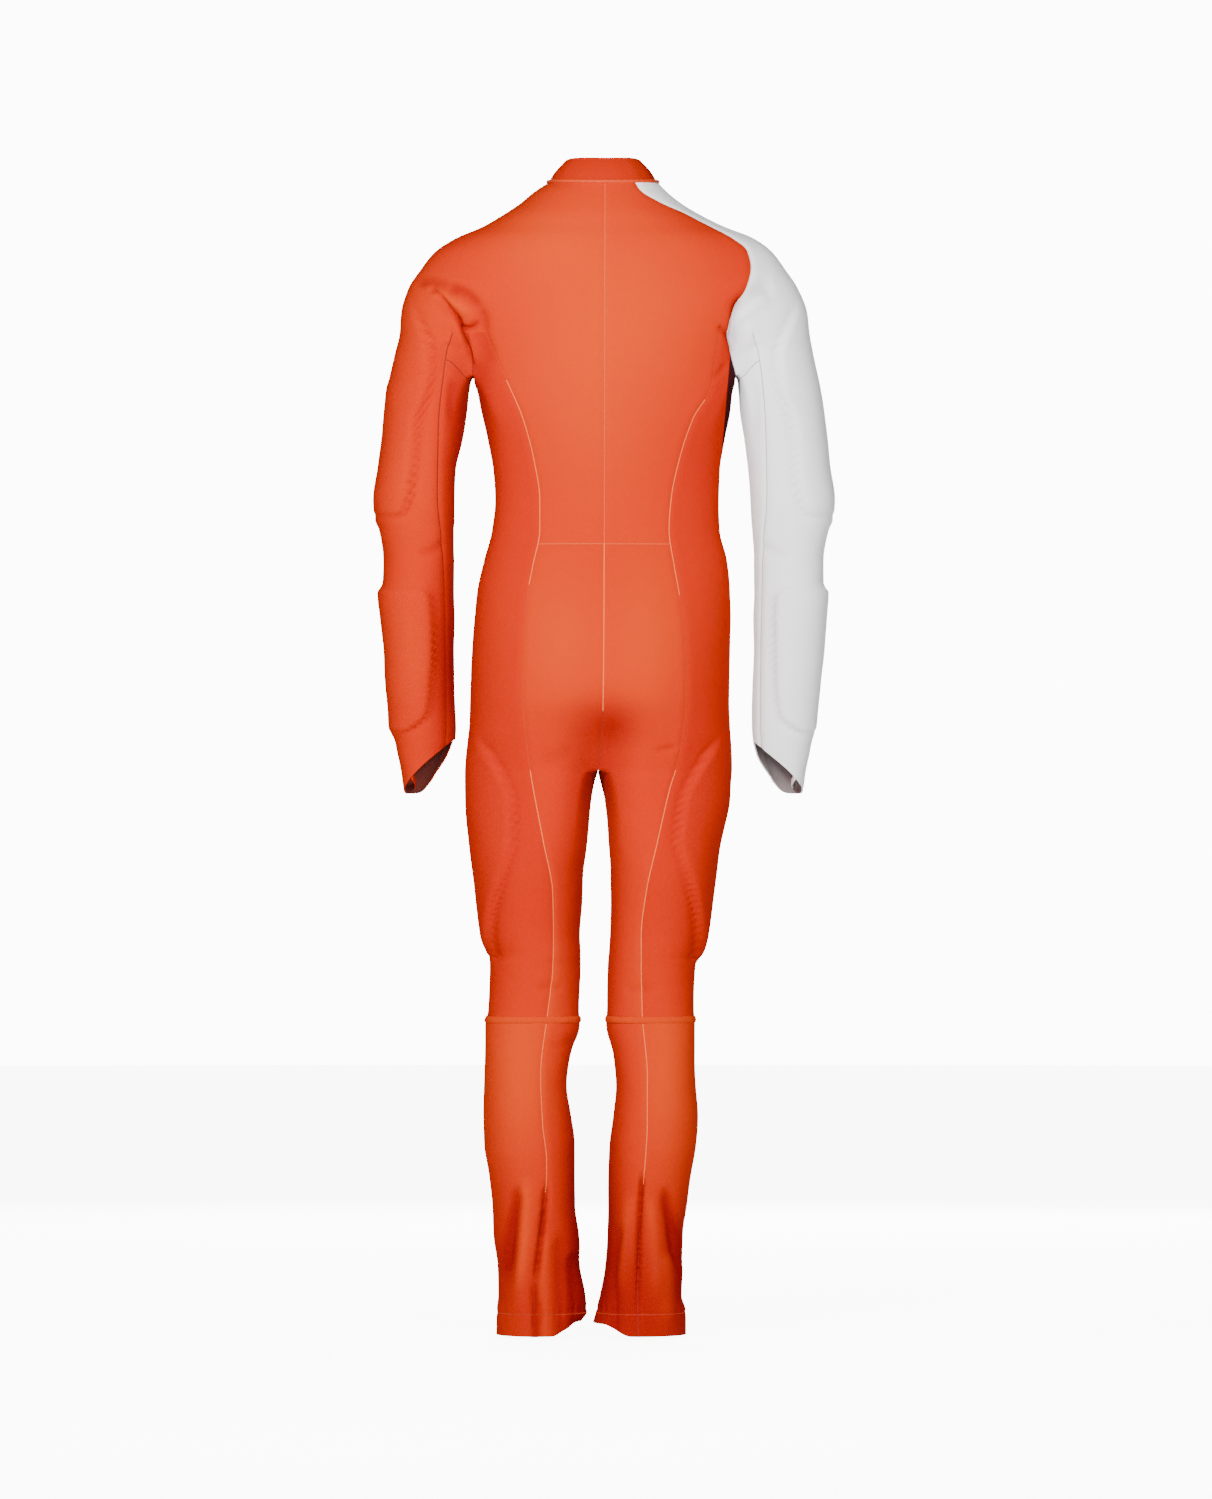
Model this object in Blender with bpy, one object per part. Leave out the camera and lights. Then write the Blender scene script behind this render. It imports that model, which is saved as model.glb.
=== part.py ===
"""A junior ski race suit, filled out as if worn, seen as panels of padded stretch knit with a front zip.

The wearer faces -Y and stands up +Z, so the wearer's left is +X. The origin is the centre of the neck opening.
Sizes are in millimetres and become metres when the meshes are made.
The suit is one surface of horizontal rings: a yoke from the neck to the armpits, which splits into a torso and two
sleeves, and a torso that splits into two legs at the crotch. Its panels are cut out of that surface along its seams.
"""

import math

import bpy
import numpy as np

# Driving sizes
MM = 0.001
WALL = 1.6  # stretch knit with its bonded backing
SEAM_GAP = 0.3
ZIP_HALF_WIDTH = 11.0  # from the centre of the zip to the edge of a front panel
TAPE_THICKNESS = 0.9
ZIP_END = -545.0  # height of the zip's lower end
COLLAR_HEIGHT = 17.0  # at the zip and at the sides
COLLAR_BACK_HEIGHT = 24.5
COLLAR_LEAN = 8.0  # how much further it leans in away from the zip
NECK_BACK = -2.0  # height of the neckline behind and in front, from its height at the sides
NECK_FRONT = -24.0
BINDING_RADIUS = 1.9
BAND_HALF_HEIGHT = 3.6
BAND_THICKNESS = 1.1
BAND_GAP = 1.45  # from the leg's section to the band, clear of the wall's flat faces
DETAIL = 1  # how many times each column of the panels is divided

# Thumb loops, across the tip of each cuff
LOOP_BACK = -592.0  # height of its end on the back edge
LOOP_FRONT = -600.0
LOOP_INSET = 11.0  # from the cuff's outer edge
LOOP_WIDTH = 7.2
LOOP_THICKNESS = 1.2

# The slanted cuff: its width, the middle of its depth, and the height of its outer tip, the rise to its inner corner
# and the power of its curve, behind and in front
CUFF_WIDTH = 66.0
CUFF_MIDDLE = -31.0
CUFF_BACK = (-606.0, 51.0, 1.15)
CUFF_FRONT = (-609.0, 54.0, 8.0)

# The hollow between the legs, behind and in front, just above the crotch
CLEFT_TOP = -490.0
CLEFT_DEPTH = 0.27
CLEFT_WIDTH = 30.0
CROTCH_MIDDLE = 5.0  # the crotch lies a little to the wearer's left
INNER_ROUNDING = 14.0  # how far the inside of the thigh takes to round off, just under the crotch
THIGH_BLEND = 115.0  # how far down the thigh takes its shape from the torso

# The chest and the upper sleeves, where the yoke's outline splits into them above the armpits
CHEST_HALF_WIDTH = 143.0
SLEEVE_HALF_WIDTH = 47.0
SLEEVE_HALF_DEPTH = 45.0
UNDERARM_BLEND = 18.0  # rounding of the hollow between the two
SHOULDER_EDGE = 12.0  # how far in from its outer edge the shape is the sleeve's alone
SPLIT_TOP = -96.0  # where the outline starts to split
SPLIT_LENGTH = 95.0
ARMPIT_BLEND = 75.0  # how far below the armpits the torso and the sleeves keep the yoke's shape
UNDERARM_EDGE = 3.0  # rounding of the inner edges right under the armpits
SEAM_LIFT = 24.0  # how far the rows rise where the gusset meets the sleeve seam
SEAM_LIFT_WIDTH = 18.0
UNDERARM_WIDENING = 0.3  # how much rounder those edges get with each millimetre down
TORSO_WIDTH_POWER = 0.88  # how square the torso's section is
TORSO_DEPTH_POWER = 0.92

# Heights of the main seams
NECK = 2.0
ARMHOLE_JOIN = -150.0  # where the princess seams and the underarm gussets start
ARMPIT = -195.0
WAIST_SEAM = -360.0
CROTCH = -585.0
KNEE_SEAM = -834.0
HEM = -1149.0
HEM_RISE = 12.0  # how much higher the hem is between the legs
HEM_RISE_WIDTH = 40.0
LEGS_MIDDLE = 13.0  # middle between the hems, from the middle of the suit
CUFF_START = -541.0
CUFF_SHARES = (0.36, 0.7, 1.0)  # rows of the cuff below its start

# Columns of faces between the seams, for one half of the suit
BACK_COLUMNS = 4  # centre back to princess seam
FRONT_COLUMNS = 3  # front seam to the edge of the zip
ZIP_COLUMNS = 1  # edge of the zip to centre front
ARMHOLE_COLUMNS = 1  # princess seam to armhole, and armhole to sleeve seam
BRIDGE_COLUMNS = 4  # under the arm, and through the crotch
SLEEVE_COLUMNS = 6  # round the outside of the sleeve
SIDE_COLUMNS = 2 * ARMHOLE_COLUMNS + BRIDGE_COLUMNS

# Heights of the rings
YOKE_LEVELS = [NECK, -7, -18, -30, -42, -54, -67, -84, -104, -127, ARMHOLE_JOIN, -172, ARMPIT]
TORSO_LEVELS = [ARMPIT, -206, -225, -247, -270, -293, -316, -338, WAIST_SEAM, -383, -407, -432, -457, -482,
                -507, -532, -558, CROTCH]
ARM_LEVELS = [ARMPIT, -201, -225, -252, -276, -300, -323, -339, -360, -380, -397, -407, -432, -457, -482,
              -507, -530, CUFF_START]
LEG_LEVELS = [CROTCH, -597, -616, -640, -665, -690, -715, -742, -768, -781, -806, KNEE_SEAM, -858, -882,
              -906, -930, -955, -980, -1005, -1030, -1055, -1080, -1104, -1127, HEM]


def table(names, rows):
    """Read a table with named columns, sorted by its first column."""
    rows = sorted(rows)
    return {name: np.array([row[i] for row in rows], float) for i, name in enumerate(names.split())}


# Half outline of the yoke, with its depth behind and in front
YOKE = table("z left right back front", [
    (2, 56, 54, 50, 56), (-7, 70, 63, 54, 59), (-18, 83, 77, 59, 62), (-30, 101, 97, 64, 65),
    (-42, 121, 121, 67, 68), (-54, 149, 150, 71, 70), (-67, 169, 168, 74, 72), (-84, 183, 181, 77, 75),
    (-104, 196, 194, 80, 77), (-127, 203, 203, 82, 80), (-150, 205, 206, 83, 82), (-172, 210, 210, 83, 83),
    (-195, 215, 215, 82, 83)])

# Torso: side edges from the middle, depth behind and in front
TORSO = table("z left right back front", [
    (-195, 131, 132, 82, 83), (-206, 127, 129, 81, 83), (-225, 123, 127, 79, 82), (-255, 116, 121, 75, 80),
    (-285, 111, 116, 70, 77), (-315, 109, 115, 66, 74), (-345, 112, 116, 67, 72), (-375, 120, 123, 74, 72),
    (-405, 127, 126, 84, 71), (-435, 130, 127, 93, 70), (-465, 132, 126, 98, 69), (-510, 134, 125, 99, 68),
    (-540, 135, 126, 94, 67), (-570, 138, 128, 86, 65), (-585, 139, 128, 81, 63)])

# Arms: outer and inner edge, for each side, with the depth and the middle of the depth
ARMS = table("z outer_left inner_left outer_right inner_right depth middle", [
    (-195, 215, 131, 215, 132, 88, -1), (-206, 218, 134, 217, 134, 88, -1), (-225, 220, 136, 220, 135, 88, -1),
    (-255, 223, 141, 224, 140, 86, -2), (-285, 227, 148, 227, 144, 84, -3), (-315, 231, 149, 231, 146, 82, -4),
    (-335, 229, 149, 229, 147, 80, -6), (-345, 225, 150, 225, 148, 78, -7), (-375, 221, 150, 220, 150, 75, -11),
    (-398, 222, 150, 220, 150, 74, -14), (-407, 227, 150, 225, 150, 74, -15), (-435, 224, 149, 223, 149, 72, -18),
    (-465, 221, 150, 221, 150, 69, -22), (-495, 220, 150, 218, 149, 66, -25), (-525, 217, 149, 215, 148, 63, -29),
    (-543, 216, 148, 213, 148, 62, -31), (-555, 210, 149, 209, 149, 60, -32), (-570, 207, 153, 206, 151, 57, -34),
    (-585, 204, 160, 203, 157, 53, -35), (-600, 202, 168, 201, 164, 47, -36), (-612, 200, 174, 199, 170, 42, -37)])

# Legs: outer and inner edge measured from the middle of the suit, with the depth behind and in front
LEGS = table("z outer_left inner_left outer_right inner_right back front", [
    (-585, 139, 6, 128, -6, 81, 63), (-597, 139, 10, 127, -3, 80, 63), (-615, 139, 13, 126, 1, 78, 62),
    (-660, 135, 17, 117, 5, 74, 60), (-690, 131, 21, 113, 7, 70, 58), (-720, 128, 22, 109, 7, 64, 57),
    (-750, 124, 24, 105, 6, 58, 56), (-768, 117, 23, 100, 5, 55, 56), (-780, 114, 23, 92, 4, 52, 56),
    (-825, 116, 25, 90, 3, 44, 56), (-840, 119, 24, 91, 2, 44, 54), (-870, 119, 33, 91, 9, 48, 49),
    (-900, 120, 37, 92, 12, 54, 44), (-930, 121, 33, 94, 9, 57, 41), (-960, 120, 29, 92, 5, 56, 40),
    (-990, 115, 29, 87, 4, 52, 41), (-1020, 112, 29, 83, 4, 48, 42), (-1050, 111, 25, 79, 3, 46, 44),
    (-1080, 107, 23, 79, 1, 46, 47), (-1110, 106, 18, 78, -4, 48, 50), (-1127, 108, 17, 82, -8, 50, 53),
    (-1149, 108, 22, 82, -11, 53, 57)])

# Seams: how far each lies from the middle of the suit
ARMHOLE_SEAM = table("z left right", [
    (2, 31, 31), (-7, 38, 37), (-18, 56, 55), (-30, 82, 82), (-42, 104, 105), (-54, 126, 127), (-67, 140, 143),
    (-84, 147, 147), (-104, 147, 143), (-127, 144, 131), (-150, 140, 124), (-172, 133, 127), (-195, 131, 132)])
PRINCESS_SEAM = table("z left right", [
    (2, 25, 25), (-30, 64, 64), (-67, 112, 114), (-104, 122, 118), (-150, 118, 115), (-172, 109, 112),
    (-204, 94, 107), (-235, 81, 89), (-280, 69, 74), (-315, 64, 67), (-345, 64, 65), (-382, 71, 70),
    (-416, 77, 76), (-458, 80, 81), (-510, 81, 82), (-567, 76, 76), (-605, 70, 65), (-657, 60, 53),
    (-706, 51, 42), (-750, 50, 37), (-784, 51, 37), (-826, 56, 38), (-889, 63, 43), (-937, 61, 43),
    (-974, 57, 41), (-1007, 57, 38), (-1059, 66, 34), (-1102, 70, 33), (-1149, 71, 34)])
FRONT_SEAM = table("z left right", [
    (2, 25, 25), (-30, 64, 64), (-67, 112, 114), (-104, 120, 118), (-150, 114, 112), (-195, 101, 101),
    (-300, 88, 90), (-360, 88, 90), (-450, 94, 92), (-585, 90, 84), (-700, 80, 64), (-834, 72, 50),
    (-950, 76, 48), (-1149, 66, 38)])
SLEEVE_SEAM = table("z left right", [
    (-150, 151, 148), (-160, 153, 150), (-172, 154, 151), (-195, 157, 154), (-215, 160, 157), (-251, 165, 161),
    (-313, 166, 162), (-357, 162, 159),
    (-425, 159, 157), (-541, 158, 156), (-612, 178, 175)])
CENTRE_SEAM = table("z x", [(2, -1), (-420, 0), (-525, 1), (-585, 5)])

# Moulded pads: how far each reaches in from the outer edge of its limb
UPPER_ARM_PAD = table("z reach", [
    (-108, 2), (-140, 20), (-170, 36), (-205, 42), (-240, 34), (-305, 36), (-326, 30), (-338, 10)])
FOREARM_PAD = table("z reach", [
    (-399, 40), (-412, 52), (-447, 50), (-490, 46), (-529, 38), (-545, 20), (-552, 8)])
THIGH_PAD = table("z reach", [
    (-545, 8), (-590, 38), (-620, 48), (-657, 44), (-697, 27), (-724, 17), (-755, 10), (-778, 6)])
PADS = [
    # limb, table, height, length of the top slope, length of the bottom step
    ("arm", UPPER_ARM_PAD, 6.0, 60.0, 10.0),
    ("arm", FOREARM_PAD, 5.5, 7.0, 8.0),
    ("leg", THIGH_PAD, 6.0, 30.0, 8.0),
]
PAD_EDGE = 9.0  # width of a pad's rounded edge

# Largest folds on the back: where each starts and ends, its width and its height, which is negative for a trough
FOLDS = table("x_top z_top x_end z_end width height", [
    (176, -106, 144, -139, 7, -3.0), (144, -139, 131, -190, 6, -3.5), (166, -106, 125, -134, 9, 2.5),
    (-156, -100, -119, -138, 10, -3.0),
    (57, -1000, 66, -1140, 9, -4.0), (77, -1000, 88, -1149, 13, 4.0), (45, -1010, 40, -1149, 12, 2.5),
    (-38, -1000, -33, -1140, 9, -4.0), (-52, -1010, -68, -1090, 11, 3.5), (-20, -1020, -14, -1149, 11, 2.5)])

ORANGE = (0.86, 0.085, 0.016)
DEEP_ORANGE = (0.70, 0.055, 0.014)
WHITE = (0.82, 0.82, 0.84)
LIGHT_ORANGE = (0.90, 0.13, 0.03)
METAL = (0.55, 0.55, 0.57)

SIDES = {"left": 1.0, "right": -1.0}
TURN = 2 * math.pi


def curve(columns, name, at):
    """Value of a table's column at any height, on a smooth curve that never overshoots the rows."""
    xs = columns[next(iter(columns))]
    ys = columns[name]
    steps = np.diff(xs)
    rises = np.diff(ys) / steps
    slopes = np.zeros(len(ys))
    same_way = rises[:-1] * rises[1:] > 0
    total = np.where(same_way, rises[:-1] + rises[1:], 1.0)
    slopes[1:-1] = np.where(same_way, 2.0 * rises[:-1] * rises[1:] / total, 0.0)
    slopes[0] = rises[0]
    slopes[-1] = rises[-1]
    at = np.clip(at, xs[0], xs[-1])
    i = np.clip(np.searchsorted(xs, at) - 1, 0, len(steps) - 1)
    t = (at - xs[i]) / steps[i]
    keep = (1 + 2 * t) * (1 - t) ** 2 * ys[i] + (3 - 2 * t) * t ** 2 * ys[i + 1]
    return keep + steps[i] * t * (1 - t) * ((1 - t) * slopes[i] - t * slopes[i + 1])


def ease(t):
    """Smooth step from 0 to 1."""
    t = np.clip(t, 0.0, 1.0)
    return t * t * (3.0 - 2.0 * t)


def rounded(v, power):
    """Signed power, which squares an ellipse off a little when the power is under 1."""
    return np.sign(v) * np.abs(v) ** power


def soft_max(a, b, blend):
    """Larger of two values, with a rounded join."""
    return np.maximum(a, b) + np.maximum(blend - np.abs(a - b), 0.0) ** 2 / (4.0 * blend)


# Sections. Each gives x and y for an angle round the section and a height.
# Angle 0 is the middle of the back, and angles grow towards the wearer's left.

def quarter_round(gap, rounding):
    """Rises from 0 to 1 over a distance, as a quarter of a circle does."""
    near = np.clip(gap / rounding, 0.0, 1.0)
    return np.sqrt(1.0 - (1.0 - near) ** 2)


def split_form(x, width, depth):
    """Depth of the chest and a sleeve where they join, at a distance from the middle of the suit."""
    chest = depth * np.maximum(1.0 - np.abs(x / CHEST_HALF_WIDTH) ** 2.3, 0.0) ** 0.476
    across = (np.abs(x) - (width - SLEEVE_HALF_WIDTH)) / SLEEVE_HALF_WIDTH
    sleeve = SLEEVE_HALF_DEPTH * np.maximum(1.0 - across ** 2, 0.0) ** 0.5
    return np.where(np.abs(x) > width - SHOULDER_EDGE, sleeve, soft_max(chest, sleeve, UNDERARM_BLEND))


def yoke_share(z):
    """How much of the yoke's shape is left below the armpits, and how round the inner edges are there."""
    return ease((z - ARMPIT) / ARMPIT_BLEND + 1.0), UNDERARM_EDGE + UNDERARM_WIDENING * (ARMPIT - z)


def yoke_at(angle, z):
    """The shoulders and upper sleeves, which share one outline down to the armpits."""
    middle = curve(CENTRE_SEAM, "x", z)
    s = np.sin(angle)
    c = np.cos(angle)
    width = np.where(s >= 0, curve(YOKE, "left", z) - middle, curve(YOKE, "right", z) + middle)
    width = width - pad_at_edge("arm", z)
    depth = np.where(c >= 0, curve(YOKE, "back", z), curve(YOKE, "front", z))
    x = width * s
    share = ease((SPLIT_TOP - z) / SPLIT_LENGTH)
    y = (1.0 - share) * depth * np.abs(c) ** 0.94 + share * split_form(x, width, depth)
    return middle + x, np.where(c >= 0, y, -y)


def torso_at(angle, z):
    """Section of the torso, which keeps the yoke's shape just under the armpits."""
    middle = curve(CENTRE_SEAM, "x", z)
    s = np.sin(angle)
    c = np.cos(angle)
    width = np.where(s >= 0, curve(TORSO, "left", z) - middle, curve(TORSO, "right", z) + middle)
    width = width - pad_at_edge("leg", z)
    depth = np.where(c >= 0, curve(TORSO, "back", z), curve(TORSO, "front", z))
    x = width * rounded(s, TORSO_WIDTH_POWER)
    share, rounding = yoke_share(z)
    arms = np.where(s >= 0, curve(YOKE, "left", z), curve(YOKE, "right", z)) - pad_at_edge("arm", z)
    top = np.sign(c) * split_form(x, arms, depth) * quarter_round(width - np.abs(x), rounding)
    y = (1.0 - share) * depth * rounded(c, TORSO_DEPTH_POWER) + share * top
    cleft = CLEFT_DEPTH * ease((CLEFT_TOP - z) / (CLEFT_TOP - CROTCH)) * np.exp(-((x / CLEFT_WIDTH) ** 2))
    return middle + x, y * (1.0 - cleft)


def arm_at(side):
    """Section of the left or right sleeve, which keeps the yoke's shape just under the armpit."""
    sign = SIDES[side]

    def section(angle, z):
        outer = sign * (curve(ARMS, "outer_" + side, z) - pad_at_edge("arm", z))
        inner = sign * curve(ARMS, "inner_" + side, z)
        c = np.cos(angle)
        x = (outer + inner) / 2 + abs(outer - inner) / 2 * rounded(np.sin(angle), 0.95)
        y = curve(ARMS, "middle", z) + curve(ARMS, "depth", z) / 2 * rounded(c, 0.95)
        share, rounding = yoke_share(z)
        depth = np.where(c >= 0, curve(YOKE, "back", z), curve(YOKE, "front", z))
        top = np.sign(c) * split_form(x, np.abs(outer), depth) * quarter_round(np.abs(x - inner), rounding)
        return x, (1.0 - share) * y + share * top

    return section


def leg_at(side):
    """Section of the left or right leg, which takes the torso's depth near the crotch."""
    sign = SIDES[side]

    def section(angle, z):
        outer = sign * (curve(LEGS, "outer_" + side, z) - pad_at_edge("leg", z))
        inner = sign * curve(LEGS, "inner_" + side, z)
        c = np.cos(angle)
        depth = np.where(c >= 0, curve(LEGS, "back", z), curve(LEGS, "front", z))
        x = (outer + inner) / 2 + abs(outer - inner) / 2 * rounded(np.sin(angle), 0.93)
        y = depth * rounded(c, 0.93)
        share = ease((z - CROTCH + THIGH_BLEND) / THIGH_BLEND)
        across = np.clip(np.abs(x - CROTCH_MIDDLE) / np.abs(outer - CROTCH_MIDDLE), 0.0, 1.0)
        torso = np.maximum(1.0 - across ** (2 / TORSO_WIDTH_POWER), 0.0) ** (TORSO_DEPTH_POWER / 2)
        torso = torso * quarter_round(np.abs(x - inner), INNER_ROUNDING)
        cleft = 1.0 - CLEFT_DEPTH * np.exp(-(((x - CROTCH_MIDDLE) / CLEFT_WIDTH) ** 2))
        return x, (1.0 - share) * y + share * np.sign(c) * depth * torso * cleft

    return section


def pad_in_height(columns, height, top, bottom, z):
    """Thickness of a pad at a height, with its top slope and bottom step."""
    heights = columns["z"]
    return height * ease((heights[-1] - z) / top) * ease((z - heights[0]) / bottom)


def pad_at_edge(limb, z):
    """Thickness of the pads at the outer edge of a limb."""
    total = 0.0
    for place, columns, height, top, bottom in PADS:
        if place == limb:
            total = total + pad_in_height(columns, height, top, bottom, z)
    return total


def pads_on(points):
    """How far the moulded pads raise the cloth at points on it."""
    x, z = points[:, 0], points[:, 2]
    side_is_left = x > 0
    total = np.zeros(len(points))
    for place, columns, height, top, bottom in PADS:
        edges = ARMS if place == "arm" else LEGS
        outer = np.where(side_is_left, curve(edges, "outer_left", z), curve(edges, "outer_right", z))
        if place == "arm":
            yoke = np.where(side_is_left, curve(YOKE, "left", z), curve(YOKE, "right", z))
            outer = np.where(z > ARMPIT, yoke, outer)
            on_limb = np.abs(x) > 130.0
        else:
            on_limb = np.abs(x) < 141.0
        inwards = outer - np.abs(x)
        reach = curve(columns, "reach", z)
        body = pad_in_height(columns, height, top, bottom, z)
        total += np.where(on_limb, body * ease((reach - inwards) / PAD_EDGE + 0.5), 0.0)
    return total


def folds_on(points):
    """How far the folds raise or lower the back of the suit at points on it."""
    x, y, z = points[:, 0], points[:, 1], points[:, 2]
    total = np.zeros(len(points))
    for i in range(len(FOLDS["width"])):
        x_top, z_top, x_end, z_end = (FOLDS[name][i] for name in ("x_top", "z_top", "x_end", "z_end"))
        length = math.hypot(x_end - x_top, z_end - z_top)
        along = ((x - x_top) * (x_end - x_top) + (z - z_top) * (z_end - z_top)) / length
        across = ((x - x_top) * (z_end - z_top) - (z - z_top) * (x_end - x_top)) / length
        fade = ease(along / 25.0) * ease((length - along) / 25.0 + (z_end < HEM + 10.0))
        total += FOLDS["height"][i] * fade * np.exp(-((across / FOLDS["width"][i]) ** 2))
    return np.where(y > 0, total, 0.0)


# Rings of the surface

def angle_of(section, z, x, front=False):
    """Angle at which a section reaches a distance x from the middle, behind or in front."""
    start = math.pi / 2 if front else -math.pi / 2
    angles = np.linspace(start, start + math.pi, 241)
    xs, _ = section(angles, z)
    if front:
        return float(np.interp(-x, -xs, angles))
    return float(np.interp(x, xs, angles))


def spread(section, z, start, end, count, shares=None):
    """Angles that divide a stretch of a section into equal lengths, or into given shares of it."""
    angles = np.linspace(start, end, 241)
    xs, ys = section(angles, z)
    arc = np.concatenate([[0.0], np.cumsum(np.hypot(np.diff(xs), np.diff(ys)))])
    if shares is None:
        shares = np.linspace(0.0, 1.0, count + 1)
    return np.interp(shares * arc[-1], arc, angles)


def shares_of(points):
    """Share of its length at which each point of a polyline lies."""
    steps = np.linalg.norm(np.diff(points, axis=0), axis=1)
    arc = np.concatenate([[0.0], np.cumsum(steps)])
    return arc / arc[-1]


def neck_tilt(angle, z):
    """The neckline dips a little behind and much further in front, and the rings under it level out."""
    c = np.cos(angle)
    fade = np.clip(1.0 - (NECK - z) / 95.0, 0.0, 1.0) ** 2
    return np.where(c > 0, NECK_BACK, NECK_FRONT) * c * c * fade


def seam_x(columns, side, z):
    return SIDES[side] * float(curve(columns, side, z))


def behind(section, columns, side, z):
    """Angle of a seam on the back of a section."""
    return angle_of(section, z, seam_x(columns, side, z))


def before(section, columns, side, z):
    """Angle of a seam on the front of a section."""
    return angle_of(section, z, seam_x(columns, side, z), front=True)


class Surface:
    """Points and labelled four-sided faces of the whole suit."""

    def __init__(self, detail):
        self.detail = detail
        self.points = []
        self.faces = []
        self.labels = []
        self.cuff_angles = {}

    def add_row(self, rows):
        first = len(self.points)
        self.points.extend(rows)
        return np.arange(first, first + len(rows))

    def add_faces(self, upper, lower, labels):
        """Faces between two closed rows of points, with a label for each face."""
        count = len(upper)
        for i in range(count):
            j = (i + 1) % count
            self.faces.append((upper[i], upper[j], lower[j], lower[i]))
            self.labels.append(labels[i])


def repeat(pairs, detail):
    """Labels for a row of faces from (label, columns) pairs. An empty label is left open for the zip."""
    return [label for label, count in pairs for _ in range(count * detail)]


# Key columns of the yoke, from the centre back towards the wearer's left, and the columns of faces between them
YOKE_KEYS = ["centre_back", "princess_left", "armhole_left", "sleeve_left", "sleeve_front_left",
             "armhole_front_left", "front_left", "zip_left", "centre_front", "zip_right", "front_right",
             "armhole_front_right", "sleeve_front_right", "sleeve_right", "armhole_right", "princess_right", "end"]
YOKE_HALF = [BACK_COLUMNS, ARMHOLE_COLUMNS, ARMHOLE_COLUMNS, SLEEVE_COLUMNS, ARMHOLE_COLUMNS, ARMHOLE_COLUMNS,
             FRONT_COLUMNS, ZIP_COLUMNS]
YOKE_COUNTS = YOKE_HALF + YOKE_HALF[::-1]


def front_keys(section, z):
    """Angles of the left edge of the zip, the centre front and the right edge of the zip."""
    middle = float(curve(CENTRE_SEAM, "x", z))
    return [angle_of(section, z, middle + offset, front=True) for offset in (ZIP_HALF_WIDTH, 0.0, -ZIP_HALF_WIDTH)]


def build_yoke(surface):
    """Rows from the neck to the armpits, and the index of each key column."""
    m = surface.detail
    rows = []
    for z in YOKE_LEVELS:
        start = angle_of(yoke_at, z, float(curve(CENTRE_SEAM, "x", z)))
        left = (behind(yoke_at, ARMHOLE_SEAM, "left", z), before(yoke_at, ARMHOLE_SEAM, "left", z))
        right = (before(yoke_at, ARMHOLE_SEAM, "right", z), behind(yoke_at, ARMHOLE_SEAM, "right", z) + TURN)
        keys = [start, behind(yoke_at, PRINCESS_SEAM, "left", z), left[0], *sleeve_seam_angles("left", z, *left),
                left[1], before(yoke_at, FRONT_SEAM, "left", z), *front_keys(yoke_at, z),
                before(yoke_at, FRONT_SEAM, "right", z), right[0], *sleeve_seam_angles("right", z, *right),
                right[1], behind(yoke_at, PRINCESS_SEAM, "right", z) + TURN, start + TURN]
        angles = np.concatenate([spread(yoke_at, z, keys[i], keys[i + 1], YOKE_COUNTS[i] * m)[:-1]
                                 for i in range(len(YOKE_COUNTS))])
        xs, ys = yoke_at(angles, z)
        heights = z + neck_tilt(angles, z) + sleeve_seam_lift(xs, z)
        rows.append(surface.add_row(np.column_stack([xs, ys, heights])))
    places = np.concatenate([[0], np.cumsum(YOKE_COUNTS)]) * m
    return rows, dict(zip(YOKE_KEYS, (int(place) for place in places)))


def sleeve_seam_angles(side, z, start, end):
    """Angles of the sleeve seams between the two ends of the armhole on one side."""
    angles = spread(yoke_at, z, start, end, 240)
    xs, ys = yoke_at(angles, z)
    arc = np.concatenate([[0.0], np.cumsum(np.hypot(np.diff(xs), np.diff(ys)))])
    even = arc[-1] / (SLEEVE_COLUMNS + 2)
    share = float(ease((-95.0 - z) / 45.0))
    reach = abs(seam_x(SLEEVE_SEAM, side, z))
    far = int(np.argmax(np.abs(xs)))
    first = even + (np.interp(reach, np.abs(xs[:far]), arc[:far]) - even) * share
    last = even + (arc[-1] - np.interp(reach, np.abs(xs[:far:-1]), arc[:far:-1]) - even) * share
    return [float(np.interp(first, arc, angles)), float(np.interp(arc[-1] - last, arc, angles))]


def sleeve_seam_lift(xs, z):
    """Rows rise where the gusset meets the sleeve seam."""
    middle = float(curve(SLEEVE_SEAM, "left", z))
    lift = SEAM_LIFT * float(ease((ARMHOLE_JOIN - z) / (ARMHOLE_JOIN - ARMPIT)))
    lift *= float(ease((z + 275.0) / 70.0))
    return lift * np.exp(-(((np.abs(xs) - middle) / SEAM_LIFT_WIDTH) ** 2))


def blended_shares(first, z, top, length):
    """Shares that start as those of a shared row and become even further down."""
    even = np.linspace(0.0, 1.0, len(first))
    weight = float(ease((top - z) / length + 0.08))
    return (1.0 - weight) * first + weight * even


def build_limb(surface, first_row, split, section, seams, levels, blend, lift=None):
    """Rows of a sleeve or a leg, whose first row is shared. Its two seams are at column 0 and at column split."""
    rows = [first_row]
    top = levels[0]
    points = np.array([surface.points[i] for i in first_row])
    closed = np.vstack([points, points[:1]])
    first_outer = shares_of(closed[:split + 1])
    first_inner = shares_of(closed[split:])
    for z in levels[1:]:
        start, end = seams(section, z)
        outer = blended_shares(first_outer, z, top, blend)
        inner = blended_shares(first_inner, z, top, blend)
        angles = np.concatenate([
            spread(section, z, start, end, None, outer)[:-1],
            spread(section, z, end, start + TURN, None, inner)[:-1]])
        xs, ys = section(angles, z)
        heights = np.full(len(xs), float(z))
        if lift is not None:
            heights = heights + lift(xs, z)
        rows.append(surface.add_row(np.column_stack([xs, ys, heights])))
    return rows, angles


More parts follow.
